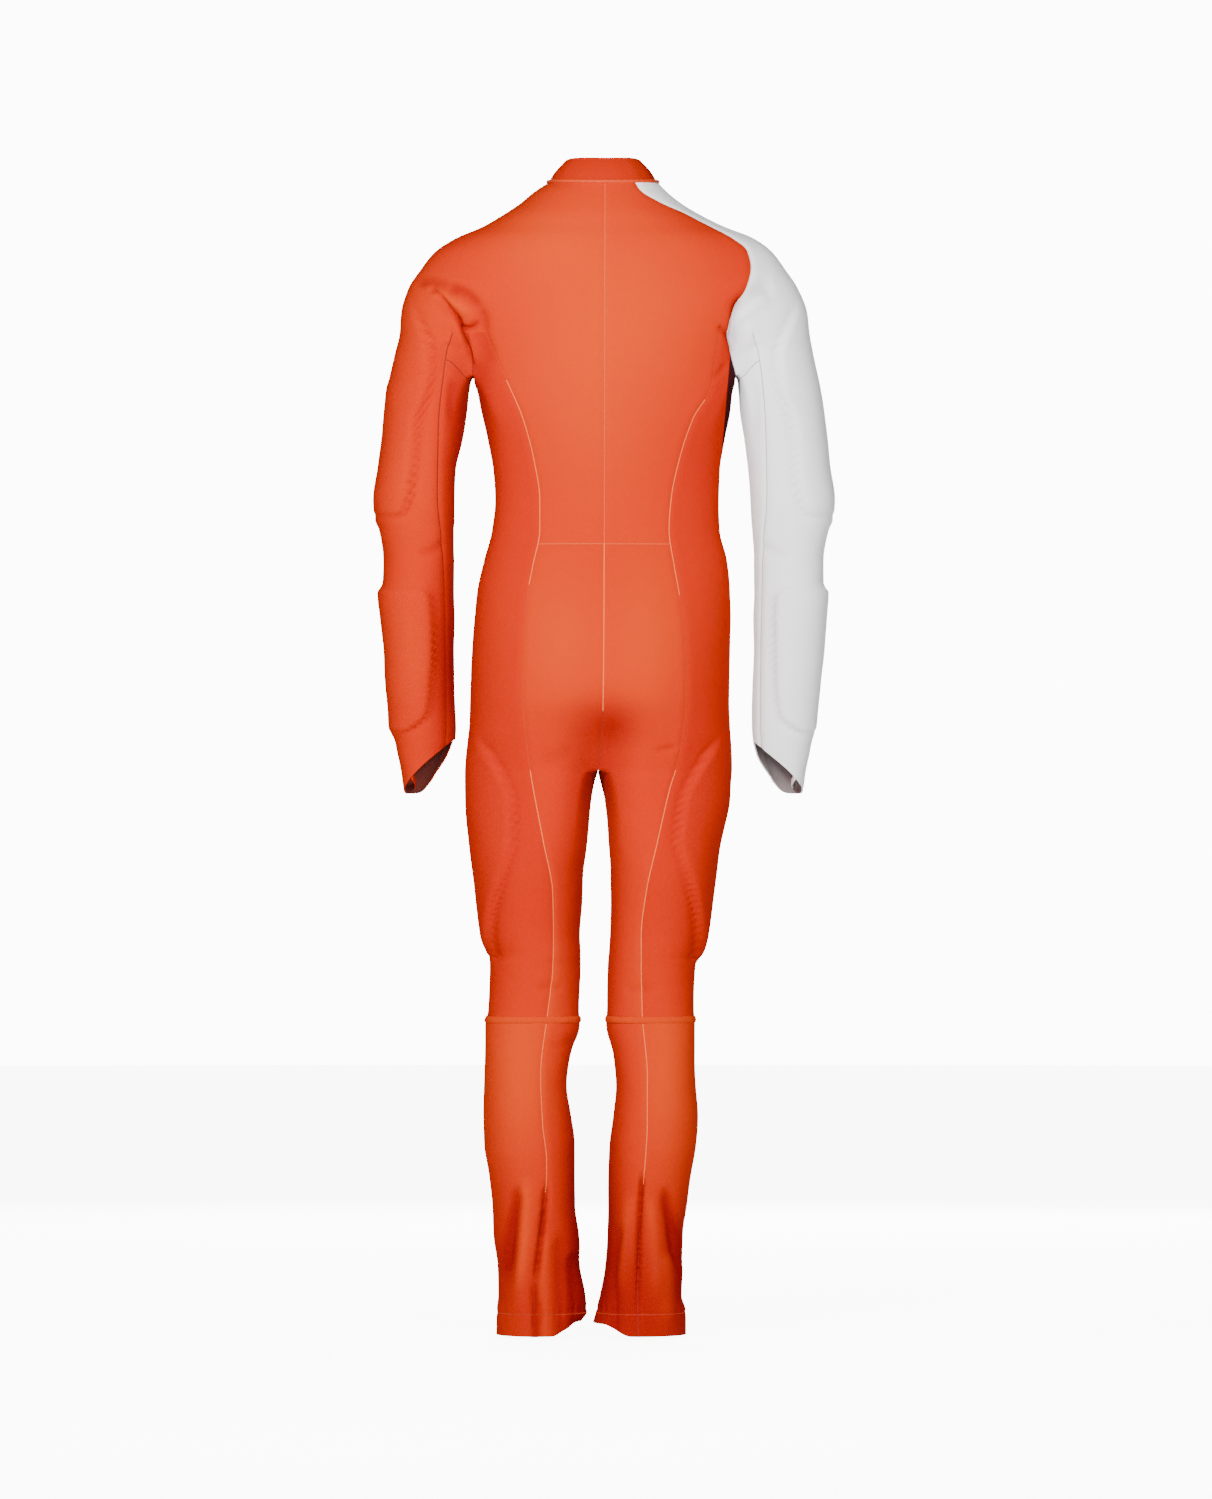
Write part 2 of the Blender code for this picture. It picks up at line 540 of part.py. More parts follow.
def limb_seams(side, back_table, front_table):
    """Start and end angle of the outer half of a limb, in the order of its columns."""
    def seams(section, z):
        back = behind(section, back_table, side, z)
        front = before(section, front_table, side, z)
        if side == "left":
            return back, front
        return front, back + TURN

    return seams


def build_torso(surface, yoke_row, places):
    """Rows from the armpits to the crotch, with the points under each arm."""
    m = surface.detail
    bridges = {}
    for side in SIDES:
        a = np.array(surface.points[yoke_row[places["armhole_" + side]]])
        b = np.array(surface.points[yoke_row[places["armhole_front_" + side]]])
        t = np.linspace(0.0, 1.0, BRIDGE_COLUMNS * m + 1)[1:-1, None]
        arch = np.array([0.0, 0.0, 3.0]) * np.sin(math.pi * t)
        bridges[side] = surface.add_row(a + (b - a) * t + arch)
    row = np.concatenate([
        yoke_row[:places["armhole_left"] + 1], bridges["left"],
        yoke_row[places["armhole_front_left"]:places["armhole_front_right"] + 1],
        bridges["right"][::-1], yoke_row[places["armhole_right"]:]])
    b, s, f, zipped = BACK_COLUMNS * m, SIDE_COLUMNS * m, FRONT_COLUMNS * m, ZIP_COLUMNS * m
    half = b + s + f + zipped
    points = np.array([surface.points[i] for i in row])
    first_left = shares_of(points[b:b + s + 1])
    first_right = shares_of(points[half + zipped + f:half + zipped + f + s + 1])
    rows = [row]
    for z in TORSO_LEVELS[1:]:
        start = angle_of(torso_at, z, float(curve(CENTRE_SEAM, "x", z)))
        keys = [start, behind(torso_at, PRINCESS_SEAM, "left", z), before(torso_at, FRONT_SEAM, "left", z),
                *front_keys(torso_at, z), before(torso_at, FRONT_SEAM, "right", z),
                behind(torso_at, PRINCESS_SEAM, "right", z) + TURN, start + TURN]
        shares = [None, blended_shares(first_left, z, ARMPIT, 75.0), None, None, None, None,
                  blended_shares(first_right, z, ARMPIT, 75.0), None]
        counts = [b, s, f, zipped, zipped, f, s, b]
        angles = np.concatenate([spread(torso_at, z, keys[i], keys[i + 1], counts[i], shares[i])[:-1]
                                 for i in range(len(counts))])
        xs, ys = torso_at(angles, z)
        rows.append(surface.add_row(np.column_stack([xs, ys, np.full(len(xs), float(z))])))
    return rows, bridges, half


def cuff_length(x, y, side):
    """Height of the slanted cuff's edge at a point of the sleeve's last ring."""
    t = np.clip((abs(curve(ARMS, "outer_" + side, CUFF_START)) - np.abs(x)) / CUFF_WIDTH, 0.0, 1.0)
    share = ease((y - CUFF_MIDDLE) / 30.0 + 0.5)
    (back_tip, back_rise, back_power), (front_tip, front_rise, front_power) = CUFF_BACK, CUFF_FRONT
    back_edge = back_tip + back_rise * t ** back_power
    front_edge = front_tip + front_rise * t ** front_power
    return share * back_edge + (1.0 - share) * front_edge


def build_cuff(surface, rows, section, angles, side):
    """Rows that follow the slanted cuff, under the last level ring of a sleeve."""
    xs, ys = section(angles, CUFF_START)
    end = cuff_length(xs, ys, side)
    for share in CUFF_SHARES:
        heights = CUFF_START + (end - CUFF_START) * share
        x, y = section(angles, heights)
        rows.append(surface.add_row(np.column_stack([x, y, heights])))


def raise_hem(surface, hem):
    """The hem is higher between the legs and sags towards the outside of each."""
    for index in hem:
        x, y, z = surface.points[index]
        inside = ease((HEM_RISE_WIDTH - abs(x - LEGS_MIDDLE)) / 30.0)
        surface.points[index] = np.array([x, y, z + HEM_RISE * inside])


def build_suit(detail):
    """The whole surface, with a label on each face."""
    m = detail
    surface = Surface(detail)
    yoke, places = build_yoke(surface)
    for k in range(len(yoke) - 1):
        below_join = YOKE_LEVELS[k] <= ARMHOLE_JOIN
        half = []
        for side in SIDES:
            back, sleeve = "back_" + side, "sleeve_upper_" + side
            part = [(back, BACK_COLUMNS), ("side_" + side if below_join else back, 1),
                    ("underarm_gusset_" + side if below_join else sleeve, 1), (sleeve, SLEEVE_COLUMNS),
                    ("underarm_gusset_" + side if below_join else sleeve, 1),
                    ("side_" + side if below_join else "front_" + side, 1), ("front_" + side, FRONT_COLUMNS),
                    ("", ZIP_COLUMNS)]
            half.append(part if side == "left" else part[::-1])
        surface.add_faces(yoke[k], yoke[k + 1], repeat(half[0] + half[1], m))
    torso, bridges, half = build_torso(surface, yoke[-1], places)
    for k in range(len(torso) - 1):
        upper = TORSO_LEVELS[k] > WAIST_SEAM
        zipped = TORSO_LEVELS[k] > ZIP_END
        names = [("back_" if upper else "seat_", BACK_COLUMNS), ("side_", SIDE_COLUMNS),
                 ("front_", FRONT_COLUMNS), ("" if zipped else "front_", ZIP_COLUMNS)]
        left = [(name and name + "left", count) for name, count in names]
        right = [(name and name + "right", count) for name, count in names[::-1]]
        surface.add_faces(torso[k], torso[k + 1], repeat(left + right, m))
    last = yoke[-1]
    for side in SIDES:
        section = arm_at(side)
        if side == "left":
            first = np.concatenate([last[places["sleeve_left"]:places["armhole_front_left"] + 1],
                                    bridges["left"][::-1], last[places["armhole_left"]:places["sleeve_left"]]])
        else:
            first = np.concatenate([
                last[places["sleeve_front_right"]:places["armhole_right"] + 1], bridges["right"],
                last[places["armhole_front_right"]:places["sleeve_front_right"]]])
        split = SLEEVE_COLUMNS * m
        seams = limb_seams(side, SLEEVE_SEAM, SLEEVE_SEAM)
        rows, angles = build_limb(surface, first, split, section, seams, ARM_LEVELS, 80.0, sleeve_seam_lift)
        build_cuff(surface, rows, section, angles, side)
        surface.cuff_angles[side] = angles
        for k in range(len(rows) - 1):
            inner = "underarm_gusset_" if k == 0 else "sleeve_under_"
            labels = [("sleeve_upper_" + side, SLEEVE_COLUMNS), (inner + side, SIDE_COLUMNS)]
            surface.add_faces(rows[k], rows[k + 1], repeat(labels, m))
    last = torso[-1]
    back_point = np.array(surface.points[last[0]])
    front_point = np.array(surface.points[last[half]])
    t = np.linspace(0.0, 1.0, BRIDGE_COLUMNS * m + 1)[1:-1, None]
    arch = np.array([0.0, 0.0, 4.0]) * np.sin(math.pi * t)
    bridge = surface.add_row(back_point + (front_point - back_point) * t + arch)
    for side in SIDES:
        section = leg_at(side)
        b, s, f = BACK_COLUMNS * m, SIDE_COLUMNS * m, (FRONT_COLUMNS + ZIP_COLUMNS) * m
        if side == "left":
            first = np.concatenate([last[b:half + 1], bridge[::-1], last[:b]])
        else:
            first = np.concatenate([last[half + f:], last[:1], bridge, last[half:half + f]])
        seams = limb_seams(side, PRINCESS_SEAM, FRONT_SEAM)
        rows, _ = build_limb(surface, first, s, section, seams, LEG_LEVELS, 90.0)
        raise_hem(surface, rows[-1])
        seat_columns = BACK_COLUMNS + BRIDGE_COLUMNS // 2
        front_columns = FRONT_COLUMNS + ZIP_COLUMNS + BRIDGE_COLUMNS // 2
        for k in range(len(rows) - 1):
            if LEG_LEVELS[k] > KNEE_SEAM:
                inner = [("front_" + side, front_columns), ("seat_" + side, seat_columns)]
                outer = [("side_" + side, SIDE_COLUMNS)]
            else:
                inner = [("calf_inner_" + side, front_columns + seat_columns)]
                outer = [("calf_outer_" + side, SIDE_COLUMNS)]
            labels = outer + (inner if side == "left" else inner[::-1])
            surface.add_faces(rows[k], rows[k + 1], repeat(labels, m))
    surface.points = np.array(surface.points)
    surface.faces = np.array(surface.faces)
    surface.labels = np.array(surface.labels)
    steps = {"zip_left": -m * ZIP_COLUMNS, "centre_front": 0, "zip_right": m * ZIP_COLUMNS}
    surface.zip_columns = {
        key: [row[places[key]] for row in yoke] + [row[half + step] for row in torso[1:]]
        for key, step in steps.items()}
    return surface


def face_normals(points, faces):
    """Unit normals of four-sided faces, from their diagonals."""
    a, b, c, d = (points[faces[:, i]] for i in range(4))
    cross = np.cross(c - a, d - b)
    return cross / np.maximum(np.linalg.norm(cross, axis=1), 1e-9)[:, None], cross


def point_normals(points, faces):
    _, cross = face_normals(points, faces)
    normals = np.zeros_like(points)
    for i in range(4):
        np.add.at(normals, faces[:, i], cross)
    return normals / np.maximum(np.linalg.norm(normals, axis=1), 1e-9)[:, None]


# Panels

def border_edges(faces):
    """Directed edges that only one face of a panel uses, with that face."""
    owner = {}
    for number, face in enumerate(faces):
        for i in range(4):
            owner[face[i], face[(i + 1) % 4]] = number
    return [(a, b, number) for (a, b), number in owner.items() if (b, a) not in owner]


def inset_points(surface, borders, normals_of_faces):
    """Offset of each border point that draws both of its edges back from the seam line."""
    pulls = {}
    for a, b, number in borders:
        edge = surface.points[b] - surface.points[a]
        inward = np.cross(normals_of_faces[number], edge)
        inward = inward / max(np.linalg.norm(inward), 1e-9)
        pulls.setdefault(a, []).append(inward)
        pulls.setdefault(b, []).append(inward)
    offsets = {}
    for point, ways in pulls.items():
        total = ways[0] + ways[-1]
        offsets[point] = total * SEAM_GAP / 2 / max(1.0 + float(ways[0] @ ways[-1]), 0.3)
    return offsets


def facing_out(points, faces):
    """The faces, turned over if they enclose a negative volume."""
    middle = np.mean(points, axis=0)
    volume = 0.0
    for face in faces:
        corners = [np.asarray(points[v]) - middle for v in face]
        for i in range(1, len(corners) - 1):
            volume += float(np.dot(corners[0], np.cross(corners[i], corners[i + 1])))
    return faces if volume > 0 else [list(face)[::-1] for face in faces]


def make_object(name, points, faces, colour, roughness, metallic=0.0, smooth=True):
    """One named object with its own material."""
    faces = facing_out(points, faces)
    mesh = bpy.data.meshes.new(name)
    mesh.from_pydata([tuple(float(v) * MM for v in point) for point in points], [], [tuple(f) for f in faces])
    mesh.update()
    material = bpy.data.materials.new(name)
    material.use_nodes = True
    shader = material.node_tree.nodes["Principled BSDF"]
    shader.inputs["Base Color"].default_value = (*colour, 1.0)
    shader.inputs["Roughness"].default_value = roughness
    shader.inputs["Metallic"].default_value = metallic
    mesh.materials.append(material)
    if smooth:
        mesh.shade_smooth()
        mesh.set_sharp_from_angle(angle=math.radians(40))
    made = bpy.data.objects.new(name, mesh)
    bpy.context.scene.collection.objects.link(made)
    return made


def make_panel(surface, name, normals, relief):
    """A panel as a closed wall: raised outer face, plain inner face and a rim all round.

    The rim's triangles run the same way on both sides of a seam, so that twisted rims stay parallel.
    """
    faces = [tuple(int(v) for v in face) for face in surface.faces[surface.labels == name]]
    flat, _ = face_normals(surface.points, np.array(faces))
    borders = border_edges(faces)
    offsets = inset_points(surface, borders, flat)
    used = sorted({v for face in faces for v in face})
    number = {v: i for i, v in enumerate(used)}
    outer = []
    inner = []
    for v in used:
        place = surface.points[v] + offsets.get(v, 0.0)
        outer.append(place + normals[v] * relief[v])
        inner.append(place - normals[v] * WALL)
    shift = len(used)
    solid = [[number[v] for v in face] for face in faces]
    solid += [[number[v] + shift for v in face[::-1]] for face in faces]
    for a, b, _ in borders:
        i, j = number[a], number[b]
        if a < b:
            solid += [[j, i, j + shift], [i, i + shift, j + shift]]
        else:
            solid += [[j, i, i + shift], [j, i + shift, j + shift]]
    make_object(name, outer + inner, solid, panel_colour(name), 0.62)


def panel_colour(name):
    if name in ("sleeve_upper_right", "sleeve_under_right", "underarm_gusset_right", "thumb_loop_right"):
        return WHITE
    return ORANGE


def make_strip(name, sections, colour, closed=False, roughness=0.6):
    """A bar along a path, from its cross-sections, which each list the same number of points in the same order."""
    count = len(sections[0])
    points = [point for section in sections for point in section]
    faces = []
    last = len(sections) if closed else len(sections) - 1
    for k in range(last):
        a, b = k * count, ((k + 1) % len(sections)) * count
        for i in range(count):
            j = (i + 1) % count
            faces.append([a + i, a + j, b + j, b + i])
    if not closed:
        faces.append(list(range(count))[::-1])
        faces.append([(len(sections) - 1) * count + i for i in range(count)])
    return make_object(name, points, faces, colour, roughness)


# Collar

def neck_gap_angle():
    """Angle between the middle of the front and the edge of the zip opening, at the neck."""
    return math.asin((ZIP_HALF_WIDTH + SEAM_GAP) / float(curve(YOKE, "left", NECK)))


def neck_path(count):
    """Points round the neckline from the left edge of the zip to its right edge, with their angles."""
    gap = neck_gap_angle()
    angles = np.linspace(math.pi - gap, -math.pi + gap, count)
    xs, ys = yoke_at(angles, NECK)
    return angles, np.column_stack([xs, ys, NECK + neck_tilt(angles, NECK)])


def collar_point(angle, base, height, out):
    """A point on the collar: it leans in as it rises, further away from the zip, and is highest behind."""
    away = np.array([math.sin(angle), math.cos(angle), 0.0])
    from_zip = float(ease((math.cos(angle) + 0.9) / 1.2))
    lean = 0.9 + 4.6 * height + COLLAR_LEAN * from_zip * height ** 1.5 + 1.6 * height ** 4
    behind_neck = 1.0 - (1.0 - max(math.cos(angle), 0.0)) ** 2
    rise = COLLAR_HEIGHT + (COLLAR_BACK_HEIGHT - COLLAR_HEIGHT) * behind_neck
    return base + away * (out - lean) + np.array([0.0, 0.0, SEAM_GAP + rise * height])


def make_collar():
    angles, path = neck_path(33)
    levels = (0.0, 0.34, 0.7, 1.0)
    sections = []
    for angle, base in zip(angles, path):
        outside = [collar_point(angle, base, h, 0.0) for h in levels]
        inside = [collar_point(angle, base, h, -WALL) for h in levels[::-1]]
        sections.append(outside + inside)
    middle = float(curve(CENTRE_SEAM, "x", NECK))
    for section, sign in ((sections[0], 1.0), (sections[-1], -1.0)):
        for point in section:
            point[0] = middle + sign * ZIP_HALF_WIDTH
    make_strip("collar", sections, DEEP_ORANGE)


def make_neck_binding():
    """The rolled seam at the collar's base, a cord-like ridge just outside the neckline."""
    angles, path = neck_path(33)
    sections = []
    for angle, base in zip(angles, path):
        away = np.array([math.sin(angle), math.cos(angle), 0.0])
        centre = base + away * 0.75 + np.array([0.0, 0.0, BINDING_RADIUS + 0.6])
        ring = []
        for k in range(6):
            turn = -TURN * k / 6
            ring.append(centre + BINDING_RADIUS * (math.cos(turn) * away + math.sin(turn) * np.array([0.0, 0.0, 1.0])))
        sections.append(ring)
    make_strip("neck_binding", sections, LIGHT_ORANGE)


# Knee bands and thumb loops

def make_knee_band(side):
    section = leg_at(side)
    angles = np.linspace(0.0, TURN, 25)[:-1]
    sections = []
    for angle in angles:
        corners = []
        for out, level in ((BAND_GAP, 1), (BAND_GAP, -1), (BAND_GAP + BAND_THICKNESS, -1),
                           (BAND_GAP + BAND_THICKNESS, 1)):
            z = KNEE_SEAM + level * BAND_HALF_HEIGHT
            x, y = section(angle, z)
            near_x, near_y = section(angle + 0.01, z)
            along = np.array([near_x - x, near_y - y])
            along = along / np.linalg.norm(along)
            away = np.array([-along[1], along[0]])
            corners.append(np.array([x, y, z]) + np.array([away[0], away[1], 0.0]) * out)
        sections.append(corners)
    make_strip("knee_band_" + side, sections, ORANGE, closed=True)


def cuff_inside(section, angles, z):
    """Inside face of the sleeve at a height, as a closed polygon with a seam gap left free."""
    xs, ys = section(angles, z)
    ring = np.column_stack([xs, ys])
    after = np.roll(ring, -1, axis=0) - ring
    before = ring - np.roll(ring, 1, axis=0)
    along = after / np.linalg.norm(after, axis=1)[:, None] + before / np.linalg.norm(before, axis=1)[:, None]
    along = along / np.linalg.norm(along, axis=1)[:, None]
    away = np.column_stack([-along[:, 1], along[:, 0]])
    return ring - away * (WALL + SEAM_GAP + 0.1)


def make_thumb_loop(side, angles):
    """A strap across the cuff's opening, near its outer tip, sewn inside the back edge and the front edge."""
    section = arm_at(side)
    ends = []
    for z, back in ((LOOP_BACK, True), (LOOP_FRONT, False)):
        ring = cuff_inside(section, angles, z - LOOP_WIDTH / 2)
        x = SIDES[side] * (float(curve(ARMS, "outer_" + side, z)) - LOOP_INSET)
        middle = float(np.mean(ring[:, 1]))
        half = ring[(ring[:, 1] > middle) == back]
        half = half[np.argsort(half[:, 0])]
        wall = [float(np.interp(x + dx, half[:, 0], half[:, 1])) for dx in (-LOOP_THICKNESS / 2, LOOP_THICKNESS / 2)]
        ends.append((x, min(wall) if back else max(wall), z))
    (x_back, y_back, z_back), (x_front, y_front, z_front) = ends
    sections = []
    for t in np.linspace(0.0, 1.0, 9):
        bow = 4 * t * (1 - t)
        middle = np.array([x_back + (x_front - x_back) * t - SIDES[side] * 2.0 * bow, y_back + (y_front - y_back) * t,
                           z_back + (z_front - z_back) * t - 1.5 * bow])
        half = np.array([LOOP_THICKNESS / 2, 0.0, 0.0])
        down = np.array([0.0, 0.0, -LOOP_WIDTH / 2])
        sections.append([middle + half - down, middle + half + down, middle - half + down, middle - half - down])
    make_strip("thumb_loop_" + side, sections, panel_colour("thumb_loop_" + side))


# Front zip

def zip_line(surface, normals):
    """Rows down the zip, from the top of the collar: its middle, its two edges and the outward direction."""
    columns = surface.zip_columns
    base = surface.points[columns["centre_front"][0]]
    half = np.array([ZIP_HALF_WIDTH, 0.0, 0.0])
    rows = []
    for height in (1.0, 0.82, 0.2, 0.0):
        point = collar_point(math.pi, base, height, 0.0)
        rows.append((point, {"left": point + half, "right": point - half}, np.array([0.0, -0.97, 0.24])))
    for k in range(1, len(columns["centre_front"])):
        middle = columns["centre_front"][k]
        edges = {side: surface.points[columns["zip_" + side][k]] for side in SIDES}
        rows.append((surface.points[middle], edges, normals[middle]))
        if surface.points[middle][2] < ZIP_END + 20.0:
            break
    return rows


def make_tape(rows, side):
    """The tape fills the space between the coil and the edge of the front panel."""
    sections = []
    for middle, edges, out in rows:
        way = edges[side] - middle
        way = way / np.linalg.norm(way)
        inner = middle + way * SEAM_GAP / 2
        outer = edges[side] - way * SEAM_GAP * 1.5
        sections.append([inner, outer, outer - out * TAPE_THICKNESS, inner - out * TAPE_THICKNESS])
    make_strip("zip_tape_" + side, sections, DEEP_ORANGE)


def make_coil(rows):
    sections = []
    across = np.array([1.0, 0.0, 0.0])
    for place, _, out in rows:
        low, high = 0.35, 1.55
        sections.append([place + across * 2.6 + out * low, place + across * 1.9 + out * high,
                         place - across * 1.9 + out * high, place - across * 2.6 + out * low])
    make_strip("zip_coil", sections, DEEP_ORANGE)


# Slider: half sizes, the half width of the channel over the coil, and heights above the coil's line
SLIDER_HALF_WIDTH = 4.6
SLIDER_HALF_LENGTH = 4.6
SLIDER_CHANNEL = 3.2
SLIDER_LOW, SLIDER_PLATE, SLIDER_TOP = 0.7, 2.2, 3.6
SLIDER_CHAMFER = 0.7

# The arch on the slider that holds the pull, from its foot on the slider's plate
ARCH_HALF_LENGTH = 3.4
ARCH_HALF_WIDTH = 1.1
ARCH_BAR = 1.7  # thickness of its legs
ARCH_OPENING, ARCH_HEIGHT = 2.6, 3.8
ARCH_CHAMFER = 0.9
ARCH_FOOT = 0.4  # how far it reaches into the plate

# Pull tab
PULL_AXIS_OUT = SLIDER_TOP + 1.5
PULL_LENGTH = 17.0
PULL_HALF_WIDTH = 3.1
PULL_HALF_THICKNESS = 0.6
PULL_CHAMFER = 1.4
PULL_WINDOW = 4.9  # lower end of its window
PULL_RAIL = 0.6  # half thickness of the bar in the arch


def slider_frame(rows):
    """Place and directions of the slider, near the top of the collar."""
    top, low = rows[1][0], rows[2][0]
    up = (top - low) / np.linalg.norm(top - low)
    across = np.array([1.0, 0.0, 0.0])
    out = np.cross(up, across)
    out = out if out[1] < 0 else -out
    return (top + low) / 2, across, up, out


def box_between(low, high):
    """Corner points and outward faces of a box."""
    xs, ys, zs = zip(low, high)
    points = [np.array([x, y, z]) for x in xs for y in ys for z in zs]
    faces = [(0, 1, 3, 2), (4, 6, 7, 5), (0, 4, 5, 1), (2, 3, 7, 6), (0, 2, 6, 4), (1, 5, 7, 3)]
    return points, faces


def outline_prism(outline, low, high):
    """A closed prism from an outline of (across, out) or (up, out) pairs and two levels along the third axis."""
    count = len(outline)
    points = [(a, b, level) for level in (low, high) for a, b in outline]
    faces = [[i, (i + 1) % count, count + (i + 1) % count, count + i] for i in range(count)]
    faces.append(list(range(count))[::-1])
    faces.append(list(range(count, 2 * count)))
    return points, faces


def place_local(points, frame):
    """Points given as (across, up, out) from the slider's middle, in the suit's own directions."""
    middle, across, up, out = frame
    return [middle + across * p[0] + up * p[1] + out * p[2] for p in points]


def make_slider(frame):
    """Slider body, a channel over the coil with an arch for the pull."""
    w, c, edge = SLIDER_HALF_WIDTH, SLIDER_CHANNEL, SLIDER_CHAMFER
    channel = [(-w, SLIDER_LOW), (-c, SLIDER_LOW), (-c, SLIDER_PLATE), (c, SLIDER_PLATE), (c, SLIDER_LOW),
               (w, SLIDER_LOW), (w, SLIDER_TOP - edge), (w - edge, SLIDER_TOP), (-w + edge, SLIDER_TOP),
               (-w, SLIDER_TOP - edge)]
    points, faces = outline_prism(channel, -SLIDER_HALF_LENGTH, SLIDER_HALF_LENGTH)
    body = make_object("zip_slider", place_local([(a, up, out) for a, out, up in points], frame),
                       faces, METAL, 0.35, 1.0)
    long, inner, foot = ARCH_HALF_LENGTH, ARCH_HALF_LENGTH - ARCH_BAR, SLIDER_TOP - ARCH_FOOT
    opening, top = SLIDER_TOP + ARCH_OPENING, SLIDER_TOP + ARCH_HEIGHT
    arch = [(-long, foot), (-inner, foot), (-inner, opening), (inner, opening), (inner, foot), (long, foot),
            (long, top - ARCH_CHAMFER), (long - ARCH_CHAMFER, top), (-long + ARCH_CHAMFER, top),
            (-long, top - ARCH_CHAMFER)]
    points, faces = outline_prism(arch, -ARCH_HALF_WIDTH, ARCH_HALF_WIDTH)
    guide = make_object("arch_guide", place_local([(a, up, out) for up, out, a in points], frame),
                        faces, METAL, 0.35, 1.0)
    guide.hide_render = True
    guide.display_type = "WIRE"
    join = body.modifiers.new("arch", "BOOLEAN")
    join.operation = "UNION"
    join.solver = "EXACT"
    join.object = guide


def make_pull(frame):
    """Pull tab, a flat bar with a window whose upper bar passes through the slider's arch."""
    middle, across, up, out = frame
    wide, thick, edge = PULL_HALF_WIDTH, PULL_HALF_THICKNESS, PULL_CHAMFER
    outline = [(-wide, PULL_RAIL), (wide, PULL_RAIL), (wide, -PULL_LENGTH + edge), (wide - edge, -PULL_LENGTH),
               (-wide + edge, -PULL_LENGTH), (-wide, -PULL_LENGTH + edge)]
    points, faces = outline_prism(outline, -thick, thick)
    origin = middle + out * PULL_AXIS_OUT
    local = [across * a + up * u + out * w for a, u, w in points]
    tab = make_object("zip_pull", local, faces, METAL, 0.35, 1.0)
    tab.location = tuple(float(v) * MM for v in origin)
    rail = ARCH_HALF_WIDTH + 0.5
    points, faces = box_between((-rail, -PULL_WINDOW, -3.0), (rail, -PULL_RAIL, 3.0))
    cutter = make_object("window_cutter", [across * a + up * u + out * w for a, u, w in points],
                         faces, METAL, 0.35, 1.0)
    cutter.location = tab.location
    cutter.hide_render = True
    cutter.display_type = "WIRE"
    cut = tab.modifiers.new("window", "BOOLEAN")
    cut.operation = "DIFFERENCE"
    cut.solver = "EXACT"
    cut.object = cutter


def clear_scene():
    for old in list(bpy.data.objects):
        bpy.data.objects.remove(old, do_unlink=True)


def main():
    clear_scene()
    surface = build_suit(DETAIL)
    normals = point_normals(surface.points, surface.faces)
    relief = pads_on(surface.points) + folds_on(surface.points)
    for name in sorted(set(surface.labels) - {""}):
        make_panel(surface, str(name), normals, relief)
    make_collar()
    make_neck_binding()
    for side in SIDES:
        make_knee_band(side)
        make_thumb_loop(side, surface.cuff_angles[side])
    rows = zip_line(surface, normals)
    for side in SIDES:
        make_tape(rows, side)
    make_coil(rows)
    frame = slider_frame(rows)
    make_slider(frame)
    make_pull(frame)


main()
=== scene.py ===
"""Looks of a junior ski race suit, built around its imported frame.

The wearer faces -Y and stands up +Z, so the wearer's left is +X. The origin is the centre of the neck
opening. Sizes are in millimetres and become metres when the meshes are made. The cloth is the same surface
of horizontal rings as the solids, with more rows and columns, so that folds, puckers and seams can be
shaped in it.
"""

import math

import bpy
import numpy as np
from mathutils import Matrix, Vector
from mathutils.kdtree import KDTree

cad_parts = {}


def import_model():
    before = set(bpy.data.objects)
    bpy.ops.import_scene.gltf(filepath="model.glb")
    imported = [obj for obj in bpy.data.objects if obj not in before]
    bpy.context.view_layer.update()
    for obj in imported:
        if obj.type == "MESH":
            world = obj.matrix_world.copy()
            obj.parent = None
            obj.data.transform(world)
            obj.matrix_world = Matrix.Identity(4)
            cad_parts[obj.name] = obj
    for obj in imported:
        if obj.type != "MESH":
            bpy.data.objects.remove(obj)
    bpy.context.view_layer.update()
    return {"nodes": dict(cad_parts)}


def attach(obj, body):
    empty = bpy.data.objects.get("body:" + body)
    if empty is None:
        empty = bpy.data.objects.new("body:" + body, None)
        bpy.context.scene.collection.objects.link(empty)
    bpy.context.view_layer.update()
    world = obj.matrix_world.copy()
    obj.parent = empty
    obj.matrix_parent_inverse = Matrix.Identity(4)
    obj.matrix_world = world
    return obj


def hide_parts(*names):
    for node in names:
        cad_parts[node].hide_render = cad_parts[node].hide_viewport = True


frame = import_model()

# Driving sizes
MM = 0.001
WALL = 1.6
DETAIL = 8  # how many times each column of the solids is divided
ROW_STEP = 2.7  # height of a row of faces
ZIP_HALF_WIDTH = 11.0
SEAM_GAP = 0.3
SHELL_GAP = 0.06  # between two panels, under their stitching
SEAM_HALF_WIDTH = 0.62
SEAM_HEIGHT = 0.22
SEAM_PROFILE = [(-1.0, -0.30), (-0.8, SEAM_HEIGHT * 0.75), (0.0, SEAM_HEIGHT), (0.8, SEAM_HEIGHT * 0.75),
                (1.0, -0.30)]
TAPE_THICKNESS = 0.9
ZIP_END = -545.0
COLLAR_HEIGHT = 17.0
COLLAR_BACK_HEIGHT = 24.5
COLLAR_LEAN = 8.0
COLLAR_LENGTH = 345.0
NECK_BACK = -2.0
NECK_FRONT = -24.0
NECK_TILT_REACH = 95.0  # how far down the rings follow the neckline's dip
BINDING_RADIUS = 1.9
BAND_HALF_HEIGHT = 3.6
BAND_THICKNESS = 1.3

LOOP_BACK = -592.0
LOOP_FRONT = -600.0
LOOP_INSET = 11.0
LOOP_WIDTH = 7.2
LOOP_THICKNESS = 1.2

